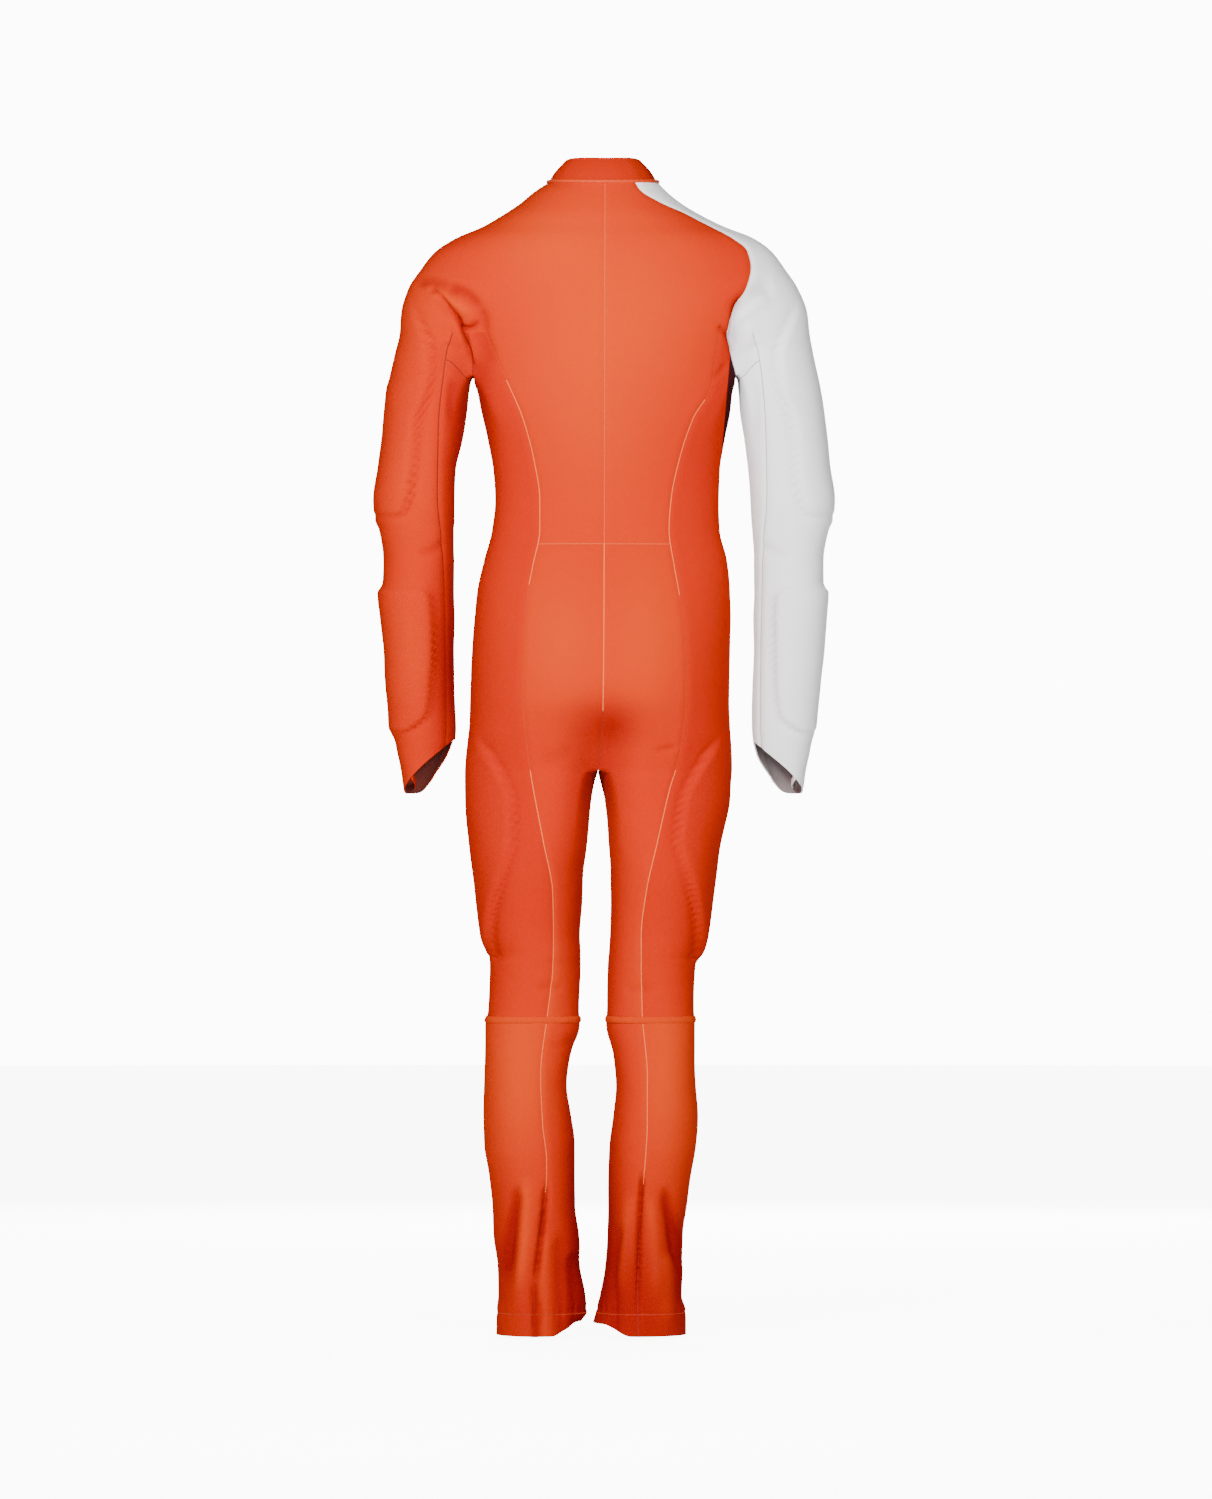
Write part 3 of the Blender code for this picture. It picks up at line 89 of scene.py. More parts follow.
# The slanted cuff: its width, the middle of its depth, and the height of its outer tip, the rise to its
# inner corner and the power of its curve, behind and in front
CUFF_WIDTH = 66.0
CUFF_MIDDLE = -31.0
CUFF_BACK = (-606.0, 51.0, 1.15)
CUFF_FRONT = (-609.0, 54.0, 8.0)

CLEFT_TOP = -490.0
CLEFT_DEPTH = 0.27
CLEFT_WIDTH = 30.0
CROTCH_MIDDLE = 5.0
INNER_ROUNDING = 14.0
THIGH_BLEND = 115.0

# The chest and the upper sleeves, where the yoke's outline splits into them above the armpits
CHEST_HALF_WIDTH = 143.0
SLEEVE_HALF_WIDTH = 47.0
SLEEVE_HALF_DEPTH = 45.0
UNDERARM_BLEND = 18.0  # rounding of the hollow between the two
SHOULDER_EDGE = 12.0  # how far in from its outer edge the shape is the sleeve's alone
SPLIT_TOP = -96.0  # where the outline starts to split
SPLIT_LENGTH = 95.0
ARMPIT_BLEND = 75.0  # how far below the armpits the torso and the sleeves keep the yoke's shape
UNDERARM_EDGE = 3.0  # rounding of the inner edges right under the armpits
UNDERARM_WIDENING = 0.3  # how much rounder those edges get with each millimetre down
SEAM_LIFT = 24.0  # how far the rows rise where the gusset meets the sleeve seam
SEAM_LIFT_WIDTH = 18.0
SEAM_LIFT_END = -275.0
SEAM_LIFT_FADE = 70.0
SLEEVE_SEAM_START = -95.0  # where the rows' even columns start to give way to the sleeve seam's place
SLEEVE_SEAM_FADE = 45.0

# How square or pointed the sections are: powers of the sine or cosine
CHEST_WIDTH_POWER = 2.3
CHEST_DEPTH_POWER = 0.476
YOKE_POWER = 0.94
TORSO_WIDTH_POWER = 0.88
TORSO_DEPTH_POWER = 0.92
SLEEVE_POWER = 0.95
LEG_POWER = 0.93

# How far below a shared row the columns have become even
SIDE_EVEN = 75.0
SLEEVE_EVEN = 80.0
LEG_EVEN = 90.0

# Heights of the main seams
NECK = 2.0
ARMHOLE_JOIN = -150.0
ARMPIT = -195.0
WAIST_SEAM = -360.0
CROTCH = -585.0
KNEE_SEAM = -834.0
HEM = -1149.0
HEM_RISE_TOP = -1127.0
HEM_RISE = 12.0  # how much higher the hem is between the legs
CUFF_START = -541.0

# Columns of faces between the seams, for one half of the suit, before they are divided
BACK_COLUMNS = 4
FRONT_COLUMNS = 3
ZIP_COLUMNS = 1
ARMHOLE_COLUMNS = 1
BRIDGE_COLUMNS = 4
SLEEVE_COLUMNS = 6
GUSSET_ROWS = 2  # rows of the underarm gusset below the armpit
SIDE_COLUMNS = 2 * ARMHOLE_COLUMNS + BRIDGE_COLUMNS

SIDES = {"left": 1.0, "right": -1.0}
TURN = 2 * math.pi
UP = np.array([0.0, 0.0, 1.0])


def table(names, rows):
    """Read a table with named columns, sorted by its first column."""
    rows = sorted(rows)
    return {name: np.array([row[i] for row in rows], float) for i, name in enumerate(names.split())}


# Half outline of the yoke, its depth behind and in front
YOKE = table("z left right back front", [
    (2, 56, 54, 50, 56), (-7, 70, 63, 54, 59), (-18, 83, 77, 59, 62), (-30, 101, 97, 64, 65),
    (-42, 121, 121, 67, 68), (-54, 149, 150, 71, 70), (-67, 169, 168, 74, 72), (-84, 183, 181, 77, 75),
    (-104, 196, 194, 80, 77), (-127, 203, 203, 82, 80), (-150, 205, 206, 83, 82), (-172, 210, 210, 83, 83),
    (-195, 215, 215, 82, 83)])

# Torso: side edges from the middle, depth behind and in front
TORSO = table("z left right back front", [
    (-195, 131, 132, 82, 83), (-206, 127, 129, 81, 83), (-225, 123, 127, 79, 82), (-255, 116, 121, 75, 80),
    (-285, 111, 116, 70, 77), (-315, 109, 115, 66, 74), (-345, 112, 116, 67, 72), (-375, 120, 123, 74, 72),
    (-405, 127, 126, 84, 71), (-435, 130, 127, 93, 70), (-465, 132, 126, 98, 69), (-510, 134, 125, 99, 68),
    (-540, 135, 126, 94, 67), (-570, 138, 128, 86, 65), (-585, 139, 128, 81, 63)])

# Arms: outer and inner edge, for each side, with the depth and the middle of the depth
ARMS = table("z outer_left inner_left outer_right inner_right depth middle", [
    (-195, 215, 131, 215, 132, 88, -1), (-206, 218, 134, 217, 134, 88, -1),
    (-225, 220, 136, 220, 135, 88, -1), (-255, 223, 141, 224, 140, 86, -2),
    (-285, 227, 148, 227, 144, 84, -3), (-315, 231, 149, 231, 146, 82, -4),
    (-335, 229, 149, 229, 147, 80, -6), (-345, 225, 150, 225, 148, 78, -7),
    (-375, 221, 150, 220, 150, 75, -11), (-398, 222, 150, 220, 150, 74, -14),
    (-407, 227, 150, 225, 150, 74, -15), (-435, 224, 149, 223, 149, 72, -18),
    (-465, 221, 150, 221, 150, 69, -22), (-495, 220, 150, 218, 149, 66, -25),
    (-525, 217, 149, 215, 148, 63, -29), (-543, 216, 148, 213, 148, 62, -31),
    (-555, 210, 149, 209, 149, 60, -32), (-570, 207, 153, 206, 151, 57, -34),
    (-585, 204, 160, 203, 157, 53, -35), (-600, 202, 168, 201, 164, 47, -36),
    (-612, 200, 174, 199, 170, 42, -37)])

# Legs: outer and inner edge measured from the middle of the suit, with the depth behind and in front
LEGS = table("z outer_left inner_left outer_right inner_right back front", [
    (-585, 139, 6, 128, -6, 81, 63), (-597, 139, 10, 127, -3, 80, 63), (-615, 139, 13, 126, 1, 78, 62),
    (-660, 135, 17, 117, 5, 74, 60), (-690, 131, 21, 113, 7, 70, 58), (-720, 128, 22, 109, 7, 64, 57),
    (-750, 124, 24, 105, 6, 58, 56), (-768, 117, 23, 100, 5, 55, 56), (-780, 114, 23, 92, 4, 52, 56),
    (-825, 116, 25, 90, 3, 44, 56), (-840, 119, 24, 91, 2, 44, 54), (-870, 119, 33, 91, 9, 48, 49),
    (-900, 120, 37, 92, 12, 54, 44), (-930, 121, 33, 94, 9, 57, 41), (-960, 120, 29, 92, 5, 56, 40),
    (-990, 115, 29, 87, 4, 52, 41), (-1020, 112, 29, 83, 4, 48, 42), (-1050, 111, 25, 79, 3, 46, 44),
    (-1080, 107, 23, 79, 1, 46, 47), (-1110, 106, 18, 78, -4, 48, 50), (-1127, 108, 17, 82, -8, 50, 53),
    (-1149, 108, 22, 82, -11, 53, 57)])

# Seams: how far each lies from the middle of the suit
ARMHOLE_SEAM = table("z left right", [
    (2, 31, 31), (-7, 38, 37), (-18, 56, 55), (-30, 82, 82), (-42, 104, 105), (-54, 126, 127),
    (-67, 140, 143), (-84, 147, 147), (-104, 147, 143), (-127, 144, 131), (-150, 140, 124),
    (-172, 133, 127), (-195, 131, 132)])
PRINCESS_SEAM = table("z left right", [
    (2, 25, 25), (-30, 64, 64), (-67, 112, 114), (-104, 122, 118), (-150, 118, 115), (-172, 109, 112),
    (-204, 94, 107), (-235, 81, 89), (-280, 69, 74), (-315, 64, 67), (-345, 64, 65), (-382, 71, 70),
    (-416, 77, 76), (-458, 80, 81), (-510, 81, 82), (-567, 76, 76), (-605, 70, 65), (-657, 60, 53),
    (-706, 51, 42), (-750, 50, 37), (-784, 51, 37), (-826, 56, 38), (-889, 63, 43), (-937, 61, 43),
    (-974, 57, 41), (-1007, 57, 38), (-1059, 66, 34), (-1102, 70, 33), (-1149, 71, 34)])
FRONT_SEAM = table("z left right", [
    (2, 25, 25), (-30, 64, 64), (-67, 112, 114), (-104, 120, 118), (-150, 114, 112), (-195, 101, 101),
    (-300, 88, 90), (-360, 88, 90), (-450, 94, 92), (-585, 90, 84), (-700, 80, 64), (-834, 72, 50),
    (-950, 76, 48), (-1149, 66, 38)])
SLEEVE_SEAM = table("z left right", [
    (-150, 151, 148), (-160, 153, 150), (-172, 154, 151), (-195, 157, 154), (-215, 160, 157),
    (-251, 165, 161), (-313, 166, 162), (-357, 162, 159), (-425, 159, 157), (-541, 158, 156),
    (-612, 178, 175)])
CENTRE_SEAM = table("z x", [(2, -1), (-420, 0), (-525, 1), (-585, 5)])

# Moulded pads: how far each reaches in from the outer edge of its limb
UPPER_ARM_PAD = table("z reach", [
    (-108, 2), (-140, 20), (-170, 36), (-205, 42), (-240, 34), (-305, 36), (-326, 30), (-338, 10)])
FOREARM_PAD = table("z reach", [
    (-399, 40), (-412, 52), (-447, 50), (-490, 46), (-529, 38), (-545, 20), (-552, 8)])
THIGH_PAD = table("z reach", [
    (-545, 8), (-590, 38), (-620, 48), (-657, 44), (-697, 27), (-724, 17), (-755, 10), (-778, 6)])
PADS = [
    # limb, table, height, length of the top slope, length of the bottom step
    ("arm", UPPER_ARM_PAD, 6.0, 60.0, 10.0),
    ("arm", FOREARM_PAD, 5.5, 7.0, 8.0),
    ("leg", THIGH_PAD, 6.0, 30.0, 8.0),
]
PAD_EDGE = 6.0  # width of a pad's rounded edge

# Creases, each a curve through a start, a bend and an end: width, height (a trough is negative), and the face
# of the suit that it lies on (1 behind, -1 in front)
CREASES = [
    # x0, z0, x1, z1, x2, z2, width, height, face
    # the left shoulder: two soft folds that run in towards the armpit, with a tuck between them
    (190, -102, 170, -98, 144, -113, 5.5, -3.2, 1),
    (158, -107, 137, -112, 121, -136, 5.5, -4.2, 1),
    (125, -126, 119, -139, 121, -152, 4.5, -3.0, 1),
    (174, -105, 149, -120, 127, -135, 6.5, 4.4, 1),
    (176, -106, 160, -116, 140, -148, 2.8, -5.0, 1),
    (170, -113, 162, -122, 150, -138, 5.0, -2.0, 1),
    (150, -127, 138, -154, 130, -190, 2.4, -5.4, 1),
    (143, -141, 134, -145, 122, -135, 2.4, -5.0, 1),
    (138, -146, 131, -164, 126, -186, 5.0, 2.2, 1),
    (122, -146, 115, -165, 113, -186, 6.0, -1.8, 1),
    (163, -158, 160, -170, 158, -184, 2.2, -1.4, 1),
    (166, -166, 163, -178, 162, -196, 2.0, -1.1, 1),
    # the right shoulder
    (-170, -104, -146, -112, -122, -137, 9.0, -3.4, 1),
    (-166, -112, -148, -124, -128, -140, 6.0, 2.6, 1),
    (-140, -112, -128, -140, -132, -188, 2.6, -5.0, 1),
    (-112, -144, -121, -150, -131, -168, 2.8, -3.0, 1),
    (-150, -138, -142, -160, -141, -194, 6.0, 2.0, 1),
    (-122, -178, -116, -188, -108, -196, 3.0, -1.8, 1),
    (148, -196, 153, -214, 151, -250, 4.0, -2.0, 1),
    (-146, -196, -152, -216, -150, -262, 5.0, -1.8, 1),
    # the left ankle
    (57, -990, 62, -1046, 71, -1108, 3.4, -6.0, 1),
    (71, -1090, 69, -1125, 68, -1152, 4.0, -3.6, 1),
    (80, -988, 79, -1046, 88, -1132, 7.0, 5.0, 1),
    (83, -994, 92, -1042, 100, -1106, 7.5, -5.0, 1),
    (58, -1040, 60, -1090, 57, -1152, 7.0, 3.0, 1),
    (44, -1040, 45, -1090, 42, -1152, 6.0, -2.2, 1),
    (30, -1062, 27, -1102, 25, -1152, 8.0, -3.4, 1),
    (66, -1112, 63, -1126, 66, -1140, 3.0, -1.6, 1),
    # the right ankle
    (-38, -984, -35, -1040, -33, -1150, 3.0, -5.2, 1),
    (-27, -1000, -20, -1060, -12, -1120, 7.5, 2.8, 1),
    (-45, -1004, -50, -1060, -52, -1130, 6.5, 2.8, 1),
    (-59, -996, -68, -1042, -76, -1092, 6.5, -4.8, 1),
    (-62, -1060, -64, -1100, -62, -1150, 8.0, 2.6, 1),
    (-18, -1034, -12, -1080, -10, -1152, 5.0, -2.4, 1),
    # under the seat, at the elbows and behind the knees
    (-50, -565, -62, -564, -76, -560, 2.6, -1.8, 1),
    (30, -560, 48, -572, 72, -576, 9.0, -1.2, 1),
    (158, -352, 172, -366, 190, -368, 5.0, -1.8, 1),
    (-157, -356, -170, -368, -186, -371, 5.0, -1.6, 1),
    (40, -806, 55, -801, 72, -806, 5.0, -1.2, 1),
    (-20, -808, -36, -803, -54, -807, 5.0, -1.1, 1),
    (28, -850, 42, -858, 60, -855, 6.0, -1.0, 1),
    # in front: armpits, elbows, groin, knees and hems
    (176, -100, 158, -118, 142, -140, 8.0, -3.0, -1),
    (142, -140, 131, -160, 130, -190, 6.0, -3.2, -1),
    (160, -98, 138, -112, 118, -132, 9.0, 2.2, -1),
    (118, -150, 106, -164, 92, -170, 7.0, -1.4, -1),
    (-174, -98, -156, -116, -138, -140, 8.0, -3.0, -1),
    (-138, -142, -128, -162, -131, -192, 6.0, -3.0, -1),
    (-158, -94, -138, -110, -120, -128, 10.0, 2.2, -1),
    (-116, -154, -102, -168, -90, -172, 7.0, -1.3, -1),
    (152, -352, 172, -361, 196, -352, 5.0, -2.6, -1),
    (151, -368, 170, -378, 198, -371, 6.0, 1.8, -1),
    (153, -383, 172, -392, 193, -388, 4.5, -2.2, -1),
    (160, -336, 176, -342, 194, -334, 4.5, -1.5, -1),
    (-151, -354, -172, -364, -197, -356, 5.0, -2.4, -1),
    (-152, -371, -170, -381, -196, -373, 6.0, 1.7, -1),
    (-154, -387, -172, -395, -190, -390, 4.5, -2.0, -1),
    (-158, -339, -176, -344, -192, -337, 4.5, -1.4, -1),
    (20, -572, 48, -556, 92, -520, 7.0, -2.4, -1),
    (24, -590, 52, -580, 96, -556, 6.0, -1.8, -1),
    (26, -560, 40, -540, 66, -508, 8.0, 1.6, -1),
    (-10, -572, -38, -558, -84, -524, 7.0, -2.3, -1),
    (-12, -590, -42, -582, -88, -560, 6.0, -1.6, -1),
    (-16, -562, -32, -540, -58, -512, 8.0, 1.5, -1),
    (36, -842, 62, -850, 96, -843, 5.0, -1.3, -1),
    (44, -815, 66, -808, 92, -812, 6.0, -1.0, -1),
    (-16, -844, -40, -851, -72, -845, 5.0, -1.2, -1),
    (-22, -816, -42, -810, -66, -814, 6.0, -1.0, -1),
    (52, -1010, 47, -1080, 44, -1152, 9.0, -3.0, -1),
    (76, -1000, 80, -1070, 86, -1152, 12.0, 3.4, -1),
    (94, -1050, 98, -1090, 96, -1140, 6.0, -1.6, -1),
    (-24, -1012, -20, -1080, -18, -1152, 9.0, -2.8, -1),
    (-50, -1004, -56, -1064, -62, -1152, 12.0, 3.2, -1),
    (-70, -1060, -72, -1095, -68, -1140, 6.0, -1.5, -1),
    (-30, -352, -50, -358, -76, -352, 7.0, -0.9, -1),
    (30, -356, 52, -362, 80, -355, 7.0, -0.9, -1),
]

# Painted highlights where light falls on the cloth, together with the paleness of cloth stretched over the
# body: middle, half sizes, strength, and the face it lies on
STRETCH_AND_HIGHLIGHT_ZONES = [
    # x, z, half width, half height, strength, face
    (30, -150, 70, 115, 0.75, 1),
    (-50, -120, 62, 90, 0.55, 1),
    (60, -60, 55, 42, 0.5, 1),
    (0, -270, 60, 80, 0.35, 1),
    (45, -455, 42, 78, 0.8, 1),
    (-42, -455, 40, 80, 0.8, 1),
    (108, -400, 26, 70, 0.35, 1),
    (-104, -410, 24, 70, 0.3, 1),
    (84, -880, 30, 105, 0.9, 1),
    (-64, -880, 28, 100, 0.9, 1),
    (62, -790, 26, 42, 0.55, 1),
    (-50, -790, 26, 42, 0.5, 1),
    (176, -128, 30, 46, 0.35, 1),
    (190, -300, 26, 60, 0.35, 1),
    (186, -460, 26, 60, 0.3, 1),
    (46, -130, 60, 90, 0.5, -1),
    (-46, -130, 60, 90, 0.5, -1),
    (70, -640, 40, 90, 0.5, -1),
    (-46, -640, 40, 90, 0.5, -1),
    (76, -824, 30, 40, 0.7, -1),
    (-48, -824, 30, 40, 0.7, -1),
]

# Painted shade where the cloth turns away from the light or lies between the limbs, under the seat and under
# the arms: the same columns
SHADE_ZONES = [
    (70, -1124, 60, 90, 0.45, 1),
    (-36, -1120, 60, 95, 0.85, 1),
    (26, -1000, 17, 130, 0.8, 1),
    (-4, -1000, 15, 130, 0.55, 1),
    (-80, -1080, 15, 60, 0.6, 1),
    (100, -1060, 14, 70, 0.35, 1),
    (157, -480, 17, 105, 1.0, 1),
    (148, -300, 12, 90, 0.6, 1),
    (142, -220, 14, 50, 0.55, 1),
    (126, -215, 9, 50, 0.4, 1),
    (8, -590, 26, 36, 0.7, 1),
    (16, -538, 46, 24, 0.34, 1),
    (-18, -538, 34, 22, 0.3, 1),
    (-8, -544, 20, 22, 0.3, 1),
    (-128, -152, 7, 22, 0.7, 1),
    (-140, -168, 8, 26, 0.35, 1),
    (24, -720, 16, 90, 0.5, 1),
    (0, -720, 14, 90, 0.35, 1),
    (118, -260, 10, 80, 0.35, 1),
    (70, -1130, 60, 60, 0.4, -1),
    (-36, -1130, 60, 60, 0.4, -1),
    (150, -470, 17, 110, 0.6, -1),
]

# Studio, in metres unless said otherwise
FLOOR = -1.152
FLOOR_GLOW = 9.0  # how bright the floor looks to the camera
WORLD_STRENGTH = 0.06
WHITE_SURROUND = 12.0  # how bright the studio's white surround looks
CAMERA_LENS = 250.0
PICTURE_HEIGHT = 1499.0  # what the picture shows from top to bottom, in millimetres
PICTURE_MIDDLE = (-2.0, -564.5)  # in millimetres

# Colours, as red, green and blue
ORANGE = (0.50, 0.020, 0.0009)
# paler orange of the painted highlights and of stretched cloth
LIT_AND_STRETCHED_ORANGE = (0.54, 0.041, 0.0019)
# deeper orange of the knit's broad colour drift and of its painted shade
RED_ORANGE = (0.44, 0.0085, 0.0026)
SHADED_SIDE_ORANGE = (0.45, 0.0145, 0.0007)  # painted shade: the side panels turn away from the light and are given a deeper colour
WHITE = (0.88, 0.88, 0.89)
# painted shadow under the right arm
UNDERARM_SHADOW_COLOUR = (0.028, 0.006, 0.008)
THREADS = {
    # kind: the seam's cord and the stitches over it
    "hem": ((0.30, 0.010, 0.001), (0.62, 0.05, 0.006)),
    "soft": ((0.50, 0.022, 0.001), (0.60, 0.050, 0.004)),
    "middle": ((0.62, 0.045, 0.004), (0.74, 0.13, 0.022)),
    "cream": ((0.86, 0.66, 0.58), (0.92, 0.80, 0.74)),
    "pale": ((0.78, 0.09, 0.010), (0.92, 0.30, 0.09)),
    # the deep kind is painted shade, for stretches of seam that lie in shaded cloth
    "deep": ((0.24, 0.008, 0.001), (0.40, 0.014, 0.002)),
    "dark": ((0.16, 0.008, 0.002), (0.30, 0.014, 0.003)),
    "white": ((0.42, 0.41, 0.43), (0.62, 0.61, 0.63)),
}

# The painted shadow under the right arm: slope and offset of its edge, and the heights its foot fades between
UNDERARM_SHADOW_EDGE = (-0.0842, -0.1397)
UNDERARM_SHADOW_END = (-0.284, -0.281)

# Seams between two panels of one side
SIDE_SEAMS = [
    ("back", "seat", "waist"),
    ("back", "side", "princess_upper"),
    ("seat", "side", "princess_lower"),
    ("front", "side", "front"),
    ("front", "seat", "inseam"),
    ("calf_inner", "calf_outer", "calf"),
    ("sleeve_under", "sleeve_upper", "sleeve"),
    ("sleeve_upper", "underarm_gusset", "gusset_top"),
    ("side", "underarm_gusset", "armhole_low"),
    ("sleeve_under", "underarm_gusset", "gusset_under"),
]

# All seams, by the two panels that each joins. Only the white shoulder has seams over the armhole.
SEAM_NAMES = {(panel + "_left", panel + "_right"): "centre_" + panel for panel in ("back", "seat", "front")}
for first_panel, second_panel, seam_name in SIDE_SEAMS:
    for seam_side in SIDES:
        SEAM_NAMES[f"{first_panel}_{seam_side}", f"{second_panel}_{seam_side}"] = f"{seam_name}_{seam_side}"
SEAM_NAMES["back_right", "sleeve_upper_right"] = "armhole_right"
SEAM_NAMES["front_right", "sleeve_upper_right"] = "armhole_front_right"

# The sleeves' seams are white on the right and dark on the left, and the others are pale
SLEEVE_SEAMS = ("sleeve", "gusset_top", "gusset_under", "armhole_low", "armhole", "armhole_front")
WHITE_SEAMS = {name + "_right" for name in SLEEVE_SEAMS}
DARK_SEAMS = {name + "_left" for name in SLEEVE_SEAMS}

# Seams whose stitching changes on the way down or is of another kind: top of each stretch and its kind
SEAM_STRETCHES = {
    # The deep stretches are painted shade, where the seams run under the seat and down to the shaded ankles.
    "calf_left": [(0.0, "pale"), (-1006.0, "deep")],
    "calf_right": [(0.0, "pale"), (-996.0, "deep")],
    "centre_back": [(9.0, "middle")],
    "centre_seat": [(0.0, "pale"), (-525.0, "deep")],
    "waist_left": [(0.0, "middle")],
    "waist_right": [(0.0, "middle")],
    "princess_upper_left": [(0.0, "soft"), (-195.0, "pale")],
    "princess_upper_right": [(0.0, "soft"), (-215.0, "pale")],
    "princess_lower_left": [(0.0, "pale"), (-398.0, "soft"), (-585.0, "pale")],
    "princess_lower_right": [(0.0, "pale"), (-410.0, "soft"), (-585.0, "pale")],
    "armhole_right": [(9.0, "cream")],
}
LEAST_FILL = 0.301  # least share of a panel's box that its area takes


def curve(columns, name, at):
    """Value of a table's column at any height, on a smooth curve that never overshoots the rows."""
    xs = columns[next(iter(columns))]
    ys = columns[name]
    steps = np.diff(xs)
    rises = np.diff(ys) / steps
    slopes = np.zeros(len(ys))
    same_way = rises[:-1] * rises[1:] > 0
    total = np.where(same_way, rises[:-1] + rises[1:], 1.0)
    slopes[1:-1] = np.where(same_way, 2.0 * rises[:-1] * rises[1:] / total, 0.0)
    slopes[0] = rises[0]
    slopes[-1] = rises[-1]
    at = np.clip(at, xs[0], xs[-1])
    i = np.clip(np.searchsorted(xs, at) - 1, 0, len(steps) - 1)
    t = (at - xs[i]) / steps[i]
    keep = (1 + 2 * t) * (1 - t) ** 2 * ys[i] + (3 - 2 * t) * t ** 2 * ys[i + 1]
    return keep + steps[i] * t * (1 - t) * ((1 - t) * slopes[i] - t * slopes[i + 1])


def ease(t):
    """Smooth step from 0 to 1."""
    t = np.clip(t, 0.0, 1.0)
    return t * t * (3.0 - 2.0 * t)


def rounded(v, power):
    """Signed power, which squares an ellipse off a little when the power is under 1."""
    return np.sign(v) * np.abs(v) ** power


def soft_max(a, b, blend):
    """Larger of two values, with a rounded join."""
    return np.maximum(a, b) + np.maximum(blend - np.abs(a - b), 0.0) ** 2 / (4.0 * blend)


def unit(vectors):
    """Vectors, one for each row, brought to length 1."""
    return vectors / np.maximum(np.linalg.norm(vectors, axis=-1, keepdims=True), 1e-9)


# Sections. Each gives x and y for an angle round the section and a height.
# Angle 0 is the middle of the back, and angles grow towards the wearer's left.

def quarter_round(gap, rounding):
    """Rises from 0 to 1 over a distance, as a quarter of a circle does."""
    near = np.clip(gap / rounding, 0.0, 1.0)
    return np.sqrt(1.0 - (1.0 - near) ** 2)


def split_form(x, width, depth):
    """Depth of the chest and a sleeve where they join, at a distance from the middle of the suit."""
    chest = np.maximum(1.0 - np.abs(x / CHEST_HALF_WIDTH) ** CHEST_WIDTH_POWER, 0.0)
    chest = depth * chest ** CHEST_DEPTH_POWER
    across = (np.abs(x) - (width - SLEEVE_HALF_WIDTH)) / SLEEVE_HALF_WIDTH
    sleeve = SLEEVE_HALF_DEPTH * np.maximum(1.0 - across ** 2, 0.0) ** 0.5
    return np.where(np.abs(x) > width - SHOULDER_EDGE, sleeve, soft_max(chest, sleeve, UNDERARM_BLEND))


def yoke_share(z):
    """How much of the yoke's shape is left below the armpits, and how round the inner edges are there."""
    return ease((z - ARMPIT) / ARMPIT_BLEND + 1.0), UNDERARM_EDGE + UNDERARM_WIDENING * (ARMPIT - z)


def yoke_at(angle, z):
    """The shoulders and upper sleeves, which share one outline down to the armpits."""
    middle = curve(CENTRE_SEAM, "x", z)
    s = np.sin(angle)
    c = np.cos(angle)
    width = np.where(s >= 0, curve(YOKE, "left", z) - middle, curve(YOKE, "right", z) + middle)
    width = width - pad_at_edge("arm", z)
    depth = np.where(c >= 0, curve(YOKE, "back", z), curve(YOKE, "front", z))
    x = width * s
    share = ease((SPLIT_TOP - z) / SPLIT_LENGTH)
    y = (1.0 - share) * depth * np.abs(c) ** YOKE_POWER + share * split_form(x, width, depth)
    return middle + x, np.where(c >= 0, y, -y)


def torso_at(angle, z):
    """Section of the torso, which keeps the yoke's shape just under the armpits."""
    middle = curve(CENTRE_SEAM, "x", z)
    s = np.sin(angle)
    c = np.cos(angle)
    width = np.where(s >= 0, curve(TORSO, "left", z) - middle, curve(TORSO, "right", z) + middle)
    width = width - pad_at_edge("leg", z)
    depth = np.where(c >= 0, curve(TORSO, "back", z), curve(TORSO, "front", z))
    x = width * rounded(s, TORSO_WIDTH_POWER)
    share, rounding = yoke_share(z)
    arms = np.where(s >= 0, curve(YOKE, "left", z), curve(YOKE, "right", z)) - pad_at_edge("arm", z)
    top = np.sign(c) * split_form(x, arms, depth) * quarter_round(width - np.abs(x), rounding)
    y = (1.0 - share) * depth * rounded(c, TORSO_DEPTH_POWER) + share * top
    cleft = CLEFT_DEPTH * ease((CLEFT_TOP - z) / (CLEFT_TOP - CROTCH)) * np.exp(-((x / CLEFT_WIDTH) ** 2))
    return middle + x, y * (1.0 - cleft)


def arm_at(side):
    """Section of the left or right sleeve, which keeps the yoke's shape just under the armpit."""
    sign = SIDES[side]

    def section(angle, z):
        """x and y of the sleeve at an angle and a height."""
        outer = sign * (curve(ARMS, "outer_" + side, z) - pad_at_edge("arm", z))
        inner = sign * curve(ARMS, "inner_" + side, z)
        c = np.cos(angle)
        x = (outer + inner) / 2 + abs(outer - inner) / 2 * rounded(np.sin(angle), SLEEVE_POWER)
        y = curve(ARMS, "middle", z) + curve(ARMS, "depth", z) / 2 * rounded(c, SLEEVE_POWER)
        share, rounding = yoke_share(z)
        depth = np.where(c >= 0, curve(YOKE, "back", z), curve(YOKE, "front", z))
        top = np.sign(c) * split_form(x, np.abs(outer), depth) * quarter_round(np.abs(x - inner), rounding)
        return x, (1.0 - share) * y + share * top

    return section


